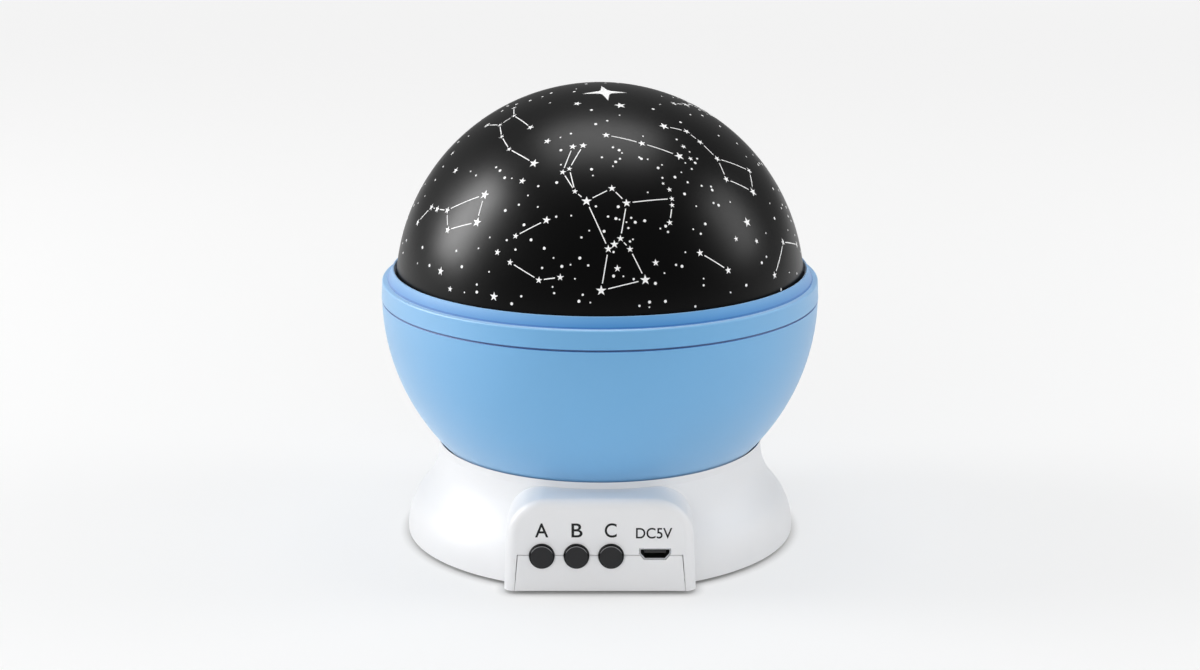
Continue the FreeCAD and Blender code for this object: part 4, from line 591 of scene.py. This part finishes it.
FRONT_DOTS = [
    (592.9, 175.5), (595.9, 206.3), (618.3, 206.7), (647.8, 192.3), (662.5, 177.8), (675.0, 177.1),
    (681.4, 172.2), (687.7, 182.2), (684.6, 193.9), (571.2, 215.6), (608.1, 216.5), (616.0, 218.5),
    (619.5, 219.5), (631.2, 217.8), (635.3, 222.2), (626.5, 222.1), (628.4, 228.0), (644.7, 220.7),
    (589.2, 230.6), (581.4, 237.4), (604.1, 231.3), (633.0, 239.3), (630.0, 241.4), (665.7, 226.1),
    (660.4, 228.5), (668.0, 231.9), (579.8, 258.1), (570.5, 264.7), (588.2, 265.4), (561.8, 266.4),
    (574.9, 278.8), (613.6, 252.0), (613.6, 276.1), (623.4, 276.3), (633.7, 279.1), (655.5, 283.4),
    (685.4, 252.2), (676.1, 264.9), (682.0, 266.3), (664.5, 273.1), (582.7, 294.8), (578.9, 301.3),
    (590.3, 302.6), (639.5, 305.9), (649.6, 302.1), (649.4, 307.2), (496.1, 167.2), (500.0, 170.5),
    (470.6, 171.3), (475.9, 175.3), (504.6, 177.7), (511.8, 178.2), (538.2, 186.1), (556.7, 182.5),
    (527.9, 195.4), (518.8, 204.7), (505.2, 210.4), (537.8, 206.9), (556.2, 216.7), (523.9, 224.8),
    (489.7, 237.4), (506.7, 240.1), (531.0, 239.8), (478.4, 248.3), (456.3, 250.8), (544.2, 248.3),
    (553.5, 257.9), (515.4, 249.6), (461.7, 266.7), (489.0, 271.8), (542.1, 267.9), (429.4, 265.4),
    (417.4, 263.3), (476.7, 284.5), (476.7, 292.1), (464.3, 292.4), (521.2, 296.3), (511.6, 303.8),
    (552.5, 286.9), (554.1, 293.1), (422.4, 247.3), (424.8, 195.9), (435.2, 179.9), (591.4, 109.9),
    (619.6, 115.1), (607.3, 120.6), (595.7, 124.0), (689.7, 151.8), (697.3, 158.6), (781.2, 289.6),
    (560.4, 137.4), (570.9, 133.5), (560.9, 150.1), (560.9, 164.6), (612.9, 147.3), (619.2, 150.1),
    (622.0, 152.9), (620.0, 158.7), (615.7, 161.8), (612.9, 166.1), (601.9, 157.2), (591.5, 169.2),
    (643.1, 136.1), (639.3, 157.2), (641.4, 158.7), (647.7, 159.2), (676.7, 139.4), (695.3, 162.8),
    (685.4, 162.8), (691.8, 168.9), (658.2, 167.9), (662.0, 164.8), (701.7, 185.7), (653.1, 108.9),
    (659.9, 104.3), (690.5, 114.7), (699.4, 109.9), (673.4, 97.4), (718.7, 135.6), (680.6, 122.1),
    (550.0, 102.7), (542.4, 96.6), (574.2, 91.5), (746.4, 156.7), (753.1, 154.6), (758.4, 164.6),
    (770.0, 203.3), (782.4, 204.7), (774.6, 218.3), (788.0, 230.1), (791.2, 220.9), (773.2, 188.6),
    (766.0, 233.1), (766.5, 256.7), (761.9, 262.7), (730.3, 202.0), (713.6, 202.9), (718.7, 205.2),
    (696.3, 206.1), (711.1, 186.5), (712.3, 190.0), (693.3, 229.2), (700.9, 233.8), (705.3, 223.9),
    (703.7, 278.6), (703.7, 285.3), (746.4, 285.3), (730.7, 292.4), (695.4, 306.5), (665.4, 301.4),
    (789.4, 272.4), (797.0, 273.5), (720.1, 126.2),
]


def seen_on_dome(column, row):
    """The direction from the dome's middle to the spot that a pixel shows."""
    half_wide = PICTURE[0] / 2.0
    half_high = PICTURE[1] / 2.0
    ray = Vector((column - half_wide, half_high - row, -LENS / SENSOR * PICTURE[0]))
    ray.rotate(camera.rotation_euler)
    ray.normalize()
    back = CAMERA_PLACE - dome_middle
    along = back.dot(ray)
    depth = max(0.0, along * along - back.dot(back) + dome_radius * dome_radius)
    return (back + ray * (-along - math.sqrt(depth))).normalized()


star_marks = [(seen_on_dome(column, row), size) for column, row, size in FRONT_STARS]
line_ends = list(FRONT_LINES)
print("front stars:", len(star_marks), "lines:", len(line_ends))

# %% [markdown]
# ## The back of the dome
# The photograph shows only the front, so the back is this lesson's own choice of star figures,
# drawn in the same hand: a W, a cross, a great square, a hook, a kite, twins, a small bear, an
# arrow and a dart. Each is a few steps in millimetres around a middle, laid on the dome at a
# bearing and a height.

# %% Lay out the back figures
BACK_FIGURES = {
    "the_w": (118, 30, [(-10, 3), (-5, -3), (0, 2.5), (5.5, -3), (10, 2)]),
    "the_cross": (150, 40, [(0, 13), (0, 5), (-9, 3), (0, 5), (9, 7), (0, 5), (0, -4), (-1, -13)]),
    "the_square": (184, 24, [(-9, 8), (8, 9), (9, -7), (-8, -8), (-9, 8), (-17, 12)]),
    "the_hook": (216, 38, [(-8, 11), (-4, 5), (-2, -1), (-2, -8), (3, -12), (8, -9), (9, -4)]),
    "the_kite": (240, 22, [(0, 10), (6, 3), (3, -6), (-4, -6), (-6, 3), (0, 10)]),
    "the_twins": (180, 58, [(-5, 9), (-4, 0), (-6, -8), (3, -9), (4, 0), (4, 9)]),
    "the_small_bear": (95, 62, [(-9, 8), (-5, 4), (-1, 2), (4, 3), (6, -4), (1, -5), (-1, 2)]),
    "the_arrow": (140, 12, [(-8, -1), (0, 0), (7, 1.5)]),
    "the_dart": (205, 10, [(-7, 2), (0, -1), (8, 0)]),
}


def bearing(turn, height):
    """A direction by its bearing from the front, in degrees, and its height above level."""
    level = math.cos(math.radians(height))
    across = math.sin(math.radians(turn)) * level
    return Vector((across, -math.cos(math.radians(turn)) * level, math.sin(math.radians(height))))


def tangents(out):
    """East and north on the dome's skin at a direction."""
    east = Vector((0.0, 0.0, 1.0)).cross(out).normalized()
    return east, out.cross(east)


for number, (turn, height, steps) in enumerate(BACK_FIGURES.values()):
    middle = bearing(turn, height)
    east, north = tangents(middle)
    known = {}
    trail = []
    for step in steps:
        if step not in known:
            known[step] = len(star_marks)
            shift = (east * step[0] + north * step[1]) * MM / dome_radius
            size = (BIG, SMALL, MEDIUM, MEDIUM)[(len(known) + number) % 4]
            star_marks.append(((middle + shift).normalized(), size))
        trail.append(known[step])
    line_ends += list(zip(trail, trail[1:]))
print("all stars:", len(star_marks), "all lines:", len(line_ends))

# %% Scatter the dots
DOT_SIZES = (0.23, 0.31, 0.41)
DOT_SEED = 11
LOWEST_DOT = 8.0
READ_ANGLE = 1.22
MOST_DOTS = 340
CLEARANCE = 2.3 * MM
LINE_ROOM = 0.004
TRIES = 900
chance = np.random.RandomState(DOT_SEED)
dots = []
for number, (column, row) in enumerate(FRONT_DOTS):
    dots.append((seen_on_dome(column, row), DOT_SIZES[number % 3]))


def is_clear(out):
    """Whether a direction keeps its distance from every star and dot."""
    near = [star for star, size in star_marks] + [dot for dot, size in dots]
    return min((out - other).length for other in near) * dome_radius > CLEARANCE


def on_a_line(out):
    """Whether a direction lies close to one of the figure lines."""
    for first, second in line_ends:
        start = star_marks[first][0]
        end = star_marks[second][0]
        reach = start.angle(out) + out.angle(end) - start.angle(end)
        if reach < LINE_ROOM:
            return True
    return False


toward_camera = (CAMERA_PLACE - dome_middle).normalized()
for attempt in range(TRIES):
    turn = chance.uniform(0.0, 360.0)
    height = math.degrees(math.asin(chance.uniform(math.sin(math.radians(LOWEST_DOT)), 1.0)))
    size = DOT_SIZES[chance.randint(3)]
    spot = bearing(turn, height)
    read_by_eye = spot.angle(toward_camera) < READ_ANGLE
    if not read_by_eye and len(dots) < MOST_DOTS and is_clear(spot) and not on_a_line(spot):
        dots.append((spot, size))
print("dots:", len(dots))

# %% [markdown]
# ## Print the marks
# Ink on plastic is a flat, slightly raised film. Each mark starts as a flat ring of points whose
# every second point is drawn in, which gives a star, or isn't, which gives a dot. The tree fills
# it, thickens it, sets one on every place, and then pulls top and bottom onto two spheres, so
# that even the large star follows the dome.

# %% Make the tree of printed marks
finishes["print_white"] = moulded("print_white", paint(252, 252, 252), 0.5, 0.25, 0.2, 0.01)


def named(tree, name, kind):
    inputs = {"Name": name}
    return Wire.add(tree, "GeometryNodeInputNamedAttribute", {"data_type": kind}, inputs)


def pulled_round(tree, geometry, size, rise):
    """Move every point of the print to its own depth below the print's top."""
    spot = Wire.add(tree, "GeometryNodeInputPosition", {}, {})
    middle = Wire.add(tree, "ShaderNodeCombineXYZ", {}, {"Z": size["Middle"]})
    away = vector_sum("SUBTRACT", {0: spot, 1: middle})
    out = vector_sum("SCALE", {0: vector_sum("NORMALIZE", {0: away}), "Scale": rise(away)})
    place = vector_sum("ADD", {0: out, 1: middle})
    return Wire.add(tree, "GeometryNodeSetPosition", {}, {"Geometry": geometry, "Position": place})


def mark_tree():
    sizes = {"Points": 10, "Waist": 0.4, "Levels": 0, "Middle": 0.0, "Top": 0.05, "Depth": 0.0001}
    tree, size = geometry_tree("printed_marks", sizes)
    ring = {"Vertices": size["Points"], "Radius": 1.0}
    flat = Wire.add(tree, "GeometryNodeMeshCircle", {"fill_type": "NGON"}, ring)
    index = Wire.add(tree, "GeometryNodeInputIndex", {}, {})
    drawn_in = 1.0 - index.then("MODULO", 2.0) * (1.0 - size["Waist"])
    spot = Wire.add(tree, "GeometryNodeInputPosition", {}, {})
    place = vector_sum("SCALE", {0: spot, "Scale": drawn_in})
    star = Wire.add(tree, "GeometryNodeSetPosition", {}, {"Geometry": flat, "Position": place})
    fine = Wire.add(tree, "GeometryNodeSubdivideMesh", {}, {"Mesh": star, "Level": size["Levels"]})
    lift = Wire.add(tree, "ShaderNodeCombineXYZ", {}, {"Z": 1.0})
    raised = {"Mesh": fine, "Offset": lift, "Offset Scale": 1.0, "Individual": False}
    top = Wire.add(tree, "GeometryNodeExtrudeMesh", {}, raised)
    under = Wire.add(tree, "GeometryNodeFlipFaces", {}, {"Mesh": fine})
    joined = Wire.add(tree, "GeometryNodeJoinGeometry", {}, {})
    node = joined.socket.node
    tree.links.new(top.socket, node.inputs[0])
    tree.links.new(under.socket, node.inputs[0])
    inputs = {"Geometry": joined, "Distance": 0.001}
    closed = Wire.add(tree, "GeometryNodeMergeByDistance", {}, inputs)
    here = Wire.add(tree, "GeometryNodeInputPosition", {}, {})
    store = {"Geometry": closed, "Name": "rise", "Value": axis_of(here, 2)}
    options = {"data_type": "FLOAT", "domain": "POINT"}
    kept = Wire.add(tree, "GeometryNodeStoreNamedAttribute", options, store)
    turn = named(tree, "turn", "FLOAT_VECTOR")
    angle = Wire.add(tree, "FunctionNodeEulerToRotation", {}, {0: turn})
    spread = {"Points": size["Geometry"], "Instance": kept, "Rotation": angle}
    spread["Scale"] = named(tree, "size", "FLOAT_VECTOR")
    placed = Wire.add(tree, "GeometryNodeInstanceOnPoints", {}, spread)
    whole = Wire.add(tree, "GeometryNodeRealizeInstances", {}, {"Geometry": placed})

    def rise(away):
        return size["Top"] - (1.0 - named(tree, "rise", "FLOAT")) * size["Depth"]

    end_tree(tree, pulled_round(tree, whole, size, rise), "print_white")
    return tree


def places_mesh(name, marks):
    """A mesh of loose points that carry how each mark is turned and how large it is."""
    mesh = bpy.data.meshes.new(name)
    turns = []
    for out, size in marks:
        east, north = tangents(out)
        turns += list(Matrix((north, -east, out)).transposed().to_euler())
    mesh.from_pydata([dome_middle + out * skin_radius for out, size in marks], [], [])
    mesh.attributes.new("turn", "FLOAT_VECTOR", "POINT").data.foreach_set("vector", turns)
    sizes = [value for out, size in marks for value in (size * MM, size * MM, PRINT_DEPTH)]
    mesh.attributes.new("size", "FLOAT_VECTOR", "POINT").data.foreach_set("vector", sizes)
    return mesh


marks_tree = mark_tree()
print("tree of marks ready")

# %% Print stars and dots
PRINT_SINK = 0.06 * MM
STAR_WAIST = 0.39
LARGE_STAR_WAIST = 0.25
print_sizes = {"Middle": dome_middle.z, "Top": dome_radius - PRINT_TOP}
print_sizes["Depth"] = PRINT_DEPTH + PRINT_SINK


def print_marks(name, marks, points, waist, levels):
    sizes = {"Points": points, "Waist": waist, "Levels": levels, **print_sizes}
    piece = grown(name, places_mesh(name, marks), marks_tree, sizes)
    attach(piece, "dome")
    print(name, "marks:", len(marks), "faces:", len(piece.data.polygons))


column, row, large_size = FOUR_POINT_STAR
large_star = (seen_on_dome(column, row), large_size)
print_marks("printed_stars", star_marks, 10, STAR_WAIST, 0)
print_marks("printed_dots", dots, 12, 1.0, 0)
print_marks("printed_large_star", [large_star], 8, LARGE_STAR_WAIST, 4)

# %% [markdown]
# ## Print the figure lines
# A line between two stars is a fine stroke that stops short of both. It follows the dome's
# curve, so its points lie on the arc between the two directions. A curve with a small round
# section makes the stroke, and whatever would stand above the print's top is pressed down to it.

# %% Draw the lines
STROKE = 0.145 * MM
LINE_GAP = 0.42
ARC_STEP = 0.02
SHORTEST_LINE = 0.006


def line_tree():
    tree, size = geometry_tree("printed_lines", {"Middle": 0.0, "Top": 0.05, "Stroke": 0.0002})
    path = Wire.add(tree, "GeometryNodeMeshToCurve", {}, {"Mesh": size["Geometry"]})
    section = {"Resolution": 8, "Radius": size["Stroke"]}
    profile = Wire.add(tree, "GeometryNodeCurvePrimitiveCircle", {"mode": "RADIUS"}, section)
    inputs = {"Curve": path, "Profile Curve": profile, "Fill Caps": True}
    stroke = Wire.add(tree, "GeometryNodeCurveToMesh", {}, inputs)

    def rise(away):
        return vector_sum("LENGTH", {0: away}, 1).then("MINIMUM", size["Top"])

    end_tree(tree, pulled_round(tree, stroke, size, rise), "print_white")
    return tree


points = []
edges = []
for first, second in line_ends:
    start, start_size = star_marks[first]
    end, end_size = star_marks[second]
    whole = start.angle(end)
    cut_start = (start_size + LINE_GAP) * MM / dome_radius
    cut_end = (end_size + LINE_GAP) * MM / dome_radius
    if whole - cut_start - cut_end < SHORTEST_LINE:
        continue
    count = max(2, int(whole / ARC_STEP) + 1)
    for number in range(count + 1):
        angle = cut_start + (whole - cut_start - cut_end) * number / count
        out = start.slerp(end, angle / whole)
        if number:
            edges.append((len(points) - 1, len(points)))
        points.append(dome_middle + out * skin_radius)
line_mesh = bpy.data.meshes.new("printed_lines")
line_mesh.from_pydata(points, edges, [])
line_sizes = {"Middle": dome_middle.z, "Top": dome_radius - PRINT_TOP, "Stroke": STROKE}
printed_lines = outward(grown("printed_lines", line_mesh, line_tree(), line_sizes))
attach(printed_lines, "dome")
lines_drawn = len(points) - len(edges)
print("lines printed:", lines_drawn, "faces:", len(printed_lines.data.polygons))

# %% [markdown]
# ## Marks on the control box
# Above the three buttons stand the letters A, B and C, and the inlet says what it takes. They are
# plain printed letters, so a text object gives their outlines. It is made a mesh first and only
# then set on the panel, because a finished piece keeps its place in its mesh. A row gives the
# words, their middle and foot on the panel, the height of a capital in millimetres and the stretch
# in width. A capital of this typeface is a fixed share of the text size.

# %% Print the letters
finishes["print_black"] = moulded("print_black", paint(4, 4, 5), 0.6, 0.25, 0.2, 0.02)
INK = 0.03 * MM
CAPITAL = 0.729
WEIGHT = 0.010
panel_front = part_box("base_housing")[0].y
LETTERS = {
    "letter_a": ("A", -15.8, 16.5, 4.15, 0.91),
    "letter_b": ("B", -6.4, 16.5, 4.15, 1.08),
    "letter_c": ("C", 2.9, 16.5, 4.15, 0.90),
    "letters_inlet": ("DC5V", 14.5, 16.2, 3.1, 0.92),
}


def letter_piece(name, words, across, foot, height, stretch):
    """One line of print, as a thin film that stands just proud of the panel."""
    text = bpy.data.curves.new(name, "FONT")
    text.body = words
    text.align_x = "CENTER"
    text.size = height / CAPITAL * MM
    text.offset = WEIGHT * text.size
    text.extrude = INK
    draft = bpy.data.objects.new(name + "_draft", text)
    bpy.context.collection.objects.link(draft)
    bpy.context.view_layer.update()
    ready = draft.evaluated_get(bpy.context.evaluated_depsgraph_get())
    mesh = bpy.data.meshes.new_from_object(ready)
    bpy.data.objects.remove(draft)
    upright = Matrix.Rotation(math.radians(90.0), 4, "X") @ Matrix.Diagonal((stretch, 1, 1, 1))
    mesh.transform(Matrix.Translation((across * MM, panel_front, foot * MM)) @ upright)
    mesh.materials.clear()
    mesh.materials.append(finishes["print_black"])
    piece = bpy.data.objects.new(name, mesh)
    bpy.context.collection.objects.link(piece)
    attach(piece, "base")
    return piece


for name, (words, across, foot, height, stretch) in LETTERS.items():
    piece = letter_piece(name, words, across, foot, height, stretch)
    wide = piece.dimensions.x / MM
    print(name, "is", round(wide, 1), "mm wide")

# %% [markdown]
# ## Battery springs
# The flat end of each cell presses a coiled spring. The solids stand in for them as plain cones,
# which is enough to hold their room. The real ones are wound wire, wide at the contact plate and
# narrow at the cell, so a spiral curve with a round section is set on each plate.

# %% Wind the springs
SPRING_TURNS = 4.5
SPRING_WIRE = 0.35 * MM
SPRING_LENGTH = 4.2 * MM
SPRING_ROOT = 2.85 * MM
SPRING_TIP = 1.65 * MM
CELLS = 4


def spring_tree():
    sizes = {"Turns": 4.0, "Length": 0.004, "Root": 0.003, "Tip": 0.002, "Wire": 0.0003}
    tree, size = geometry_tree("wound_springs", sizes)
    shape = {"Resolution": 24, "Rotations": size["Turns"], "Height": size["Length"]}
    shape.update({"Start Radius": size["Root"], "End Radius": size["Tip"]})
    spiral = Wire.add(tree, "GeometryNodeCurveSpiral", {}, shape)
    section = {"Resolution": 10, "Radius": size["Wire"]}
    profile = Wire.add(tree, "GeometryNodeCurvePrimitiveCircle", {"mode": "RADIUS"}, section)
    inputs = {"Curve": spiral, "Profile Curve": profile, "Fill Caps": True}
    wire = Wire.add(tree, "GeometryNodeCurveToMesh", {}, inputs)
    turn = named(tree, "turn", "FLOAT_VECTOR")
    angle = Wire.add(tree, "FunctionNodeEulerToRotation", {}, {0: turn})
    spread = {"Points": size["Geometry"], "Instance": wire, "Rotation": angle}
    end_tree(tree, Wire.add(tree, "GeometryNodeInstanceOnPoints", {}, spread), "nickel")
    return tree


spring_low, spring_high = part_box("battery_springs")
starts = []
turns = []
for number in range(CELLS):
    cell_from, cell_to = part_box(f"aaa_cell_{number + 1}")
    middle = (cell_from + cell_to) / 2.0
    side = 1.0 if number % 2 == 0 else -1.0
    root = spring_high.x if side > 0 else spring_low.x
    starts.append((root - side * SPRING_WIRE, middle.y, middle.z))
    turns += [0.0, math.radians(-90.0 * side), 0.0]
spring_mesh = bpy.data.meshes.new("battery_coils")
spring_mesh.from_pydata(starts, [], [])
spring_mesh.attributes.new("turn", "FLOAT_VECTOR", "POINT").data.foreach_set("vector", turns)
spring_sizes = {"Turns": SPRING_TURNS, "Length": SPRING_LENGTH - 2.0 * SPRING_WIRE}
spring_sizes.update({"Root": SPRING_ROOT, "Tip": SPRING_TIP, "Wire": SPRING_WIRE})
coils = grown("battery_coils", spring_mesh, spring_tree(), spring_sizes)
smoothed(outward(coils), 50.0)
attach(coils, "base")
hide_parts("battery_springs")
print("springs wound:", len(starts))

# %% [markdown]
# ## Floor and light
# The projector stands on a white sweep in a bright studio. The floor glows a little to the camera
# and to reflections, more so farther away, which keeps it an even white, and it still takes a soft
# shadow. A tall soft light on the left makes the strong patch on the dome, a wide one above makes
# the band near its top, and a weak one on the right the faint patch there. Each of these hangs
# twice, once for the matte part of a surface and once, just behind, for its gloss, so that each
# part can be matched by itself. The light in front is matte only, and leaves no patch. A row gives
# a light's bearing and height in degrees, its distance and its two sides in metres, and its watts
# for the matte part and for the gloss.

# %% Lay the floor
FLOOR_SIZE = 8.0
FLOOR_GLOW = 0.55
GLOW_PER_METRE = 0.15
MOST_GLOW = 0.84
FLOOR_PAINT = 0.37
CONTACT = 3.0 * MM
WHITE = (1.0, 1.0, 1.0, 1.0)
BOUNCE = (0.88, 0.88, 0.88, 1.0)


def floor_finish():
    """Plain white paint for the light's own paths, and paint with a glow for what is seen, dimmed
    close to the solids as a painted contact shadow.
    """
    material, tree = new_tree("floor")
    seen = Wire.add(tree, "ShaderNodeLightPath", {}, {}, "Is Camera Ray")
    for title in ("Is Glossy Ray", "Is Transmission Ray"):
        seen = seen.then("MAXIMUM", Wire.add(tree, "ShaderNodeLightPath", {}, {}, title))
    plain = Wire.add(tree, "ShaderNodeBsdfDiffuse", {}, {"Color": BOUNCE})
    low = (FLOOR_PAINT, FLOOR_PAINT, FLOOR_PAINT, 1.0)
    shadow = Wire.add(tree, "ShaderNodeBsdfDiffuse", {}, {"Color": low})
    away = vector_sum("LENGTH", {0: place_on(tree)}, 1)
    near = {"Color": WHITE, "Distance": CONTACT}
    open_sky = Wire.add(tree, "ShaderNodeAmbientOcclusion", {"samples": 16}, near, "AO")
    rising = away * GLOW_PER_METRE + FLOOR_GLOW
    # Ambient occlusion dims the glow where the solids stand close: a painted contact shadow.
    shine = rising.then("MINIMUM", MOST_GLOW) * open_sky
    glow = Wire.add(tree, "ShaderNodeEmission", {}, {"Color": shine, "Strength": 1.0})
    bright = Wire.add(tree, "ShaderNodeAddShader", {}, {0: shadow, 1: glow})
    either = Wire.add(tree, "ShaderNodeMixShader", {}, {0: seen, 1: plain, 2: bright})
    Wire.add(tree, "ShaderNodeOutputMaterial", {}, {"Surface": either})
    return material


half = FLOOR_SIZE / 2.0
floor_mesh = bpy.data.meshes.new("floor")
corners = [(-half, -half, 0.0), (half, -half, 0.0), (half, half, 0.0), (-half, half, 0.0)]
floor_mesh.from_pydata(corners, [], [(0, 1, 2, 3)])
floor_mesh.materials.append(floor_finish())
floor = bpy.data.objects.new("floor", floor_mesh)
bpy.context.collection.objects.link(floor)
print("floor laid,", FLOOR_SIZE, "m wide")

# %% Hang the lights
BEHIND = 0.01
LIGHTS = {
    "left": (-95.0, 27.0, 1.0, 0.36, 0.62, 5.0, 20.0),
    "top": (180.0, 80.0, 1.0, 0.80, 0.50, 2.9, 10.0),
    "right": (94.0, 26.0, 1.0, 0.36, 0.50, 3.2, 4.1),
    "front": (-10.0, 20.0, 1.4, 1.40, 0.80, 7.0, 0.0),
}


def hang(name, place, wide, high, power, lights_matte):
    """A soft light that lights either the matte part of a surface or its gloss."""
    lamp = bpy.data.lights.new(name, "AREA")
    lamp.shape = "RECTANGLE"
    lamp.size = wide
    lamp.size_y = high
    lamp.energy = power
    holder = bpy.data.objects.new(name, lamp)
    holder.location = place
    holder.rotation_euler = (place - dome_middle).to_track_quat("Z", "Y").to_euler()
    holder.visible_glossy = not lights_matte
    holder.visible_diffuse = lights_matte
    bpy.context.collection.objects.link(holder)


for name, (turn, height, away, wide, high, matte, gloss) in LIGHTS.items():
    place = dome_middle + bearing(turn, height) * away
    hang(name + "_light", place, wide, high, matte, True)
    if gloss:
        hang(name + "_gleam", place + bearing(turn, height) * BEHIND, wide, high, gloss, False)
    print(name, matte, "W matte,", gloss, "W gloss, at", [round(value, 2) for value in place])

# %% Fill the room with even light
ROOM_LIGHT = 0.30
BACKDROP = (0.93, 0.93, 0.93, 1.0)
world = bpy.data.worlds.new("room")
world.use_nodes = True
world.node_tree.nodes.clear()
room = world.node_tree
seen = Wire.add(room, "ShaderNodeLightPath", {}, {}, "Is Camera Ray")
even = Wire.add(room, "ShaderNodeBackground", {}, {"Color": WHITE, "Strength": ROOM_LIGHT})
behind = Wire.add(room, "ShaderNodeBackground", {}, {"Color": BACKDROP, "Strength": 1.0})
either = Wire.add(room, "ShaderNodeMixShader", {}, {0: seen, 1: even, 2: behind})
Wire.add(room, "ShaderNodeOutputWorld", {}, {"Surface": either})
bpy.context.scene.world = world
print("room light:", ROOM_LIGHT)

# %% [markdown]
# ## Finish

# %% Finish
print("scene dressed")
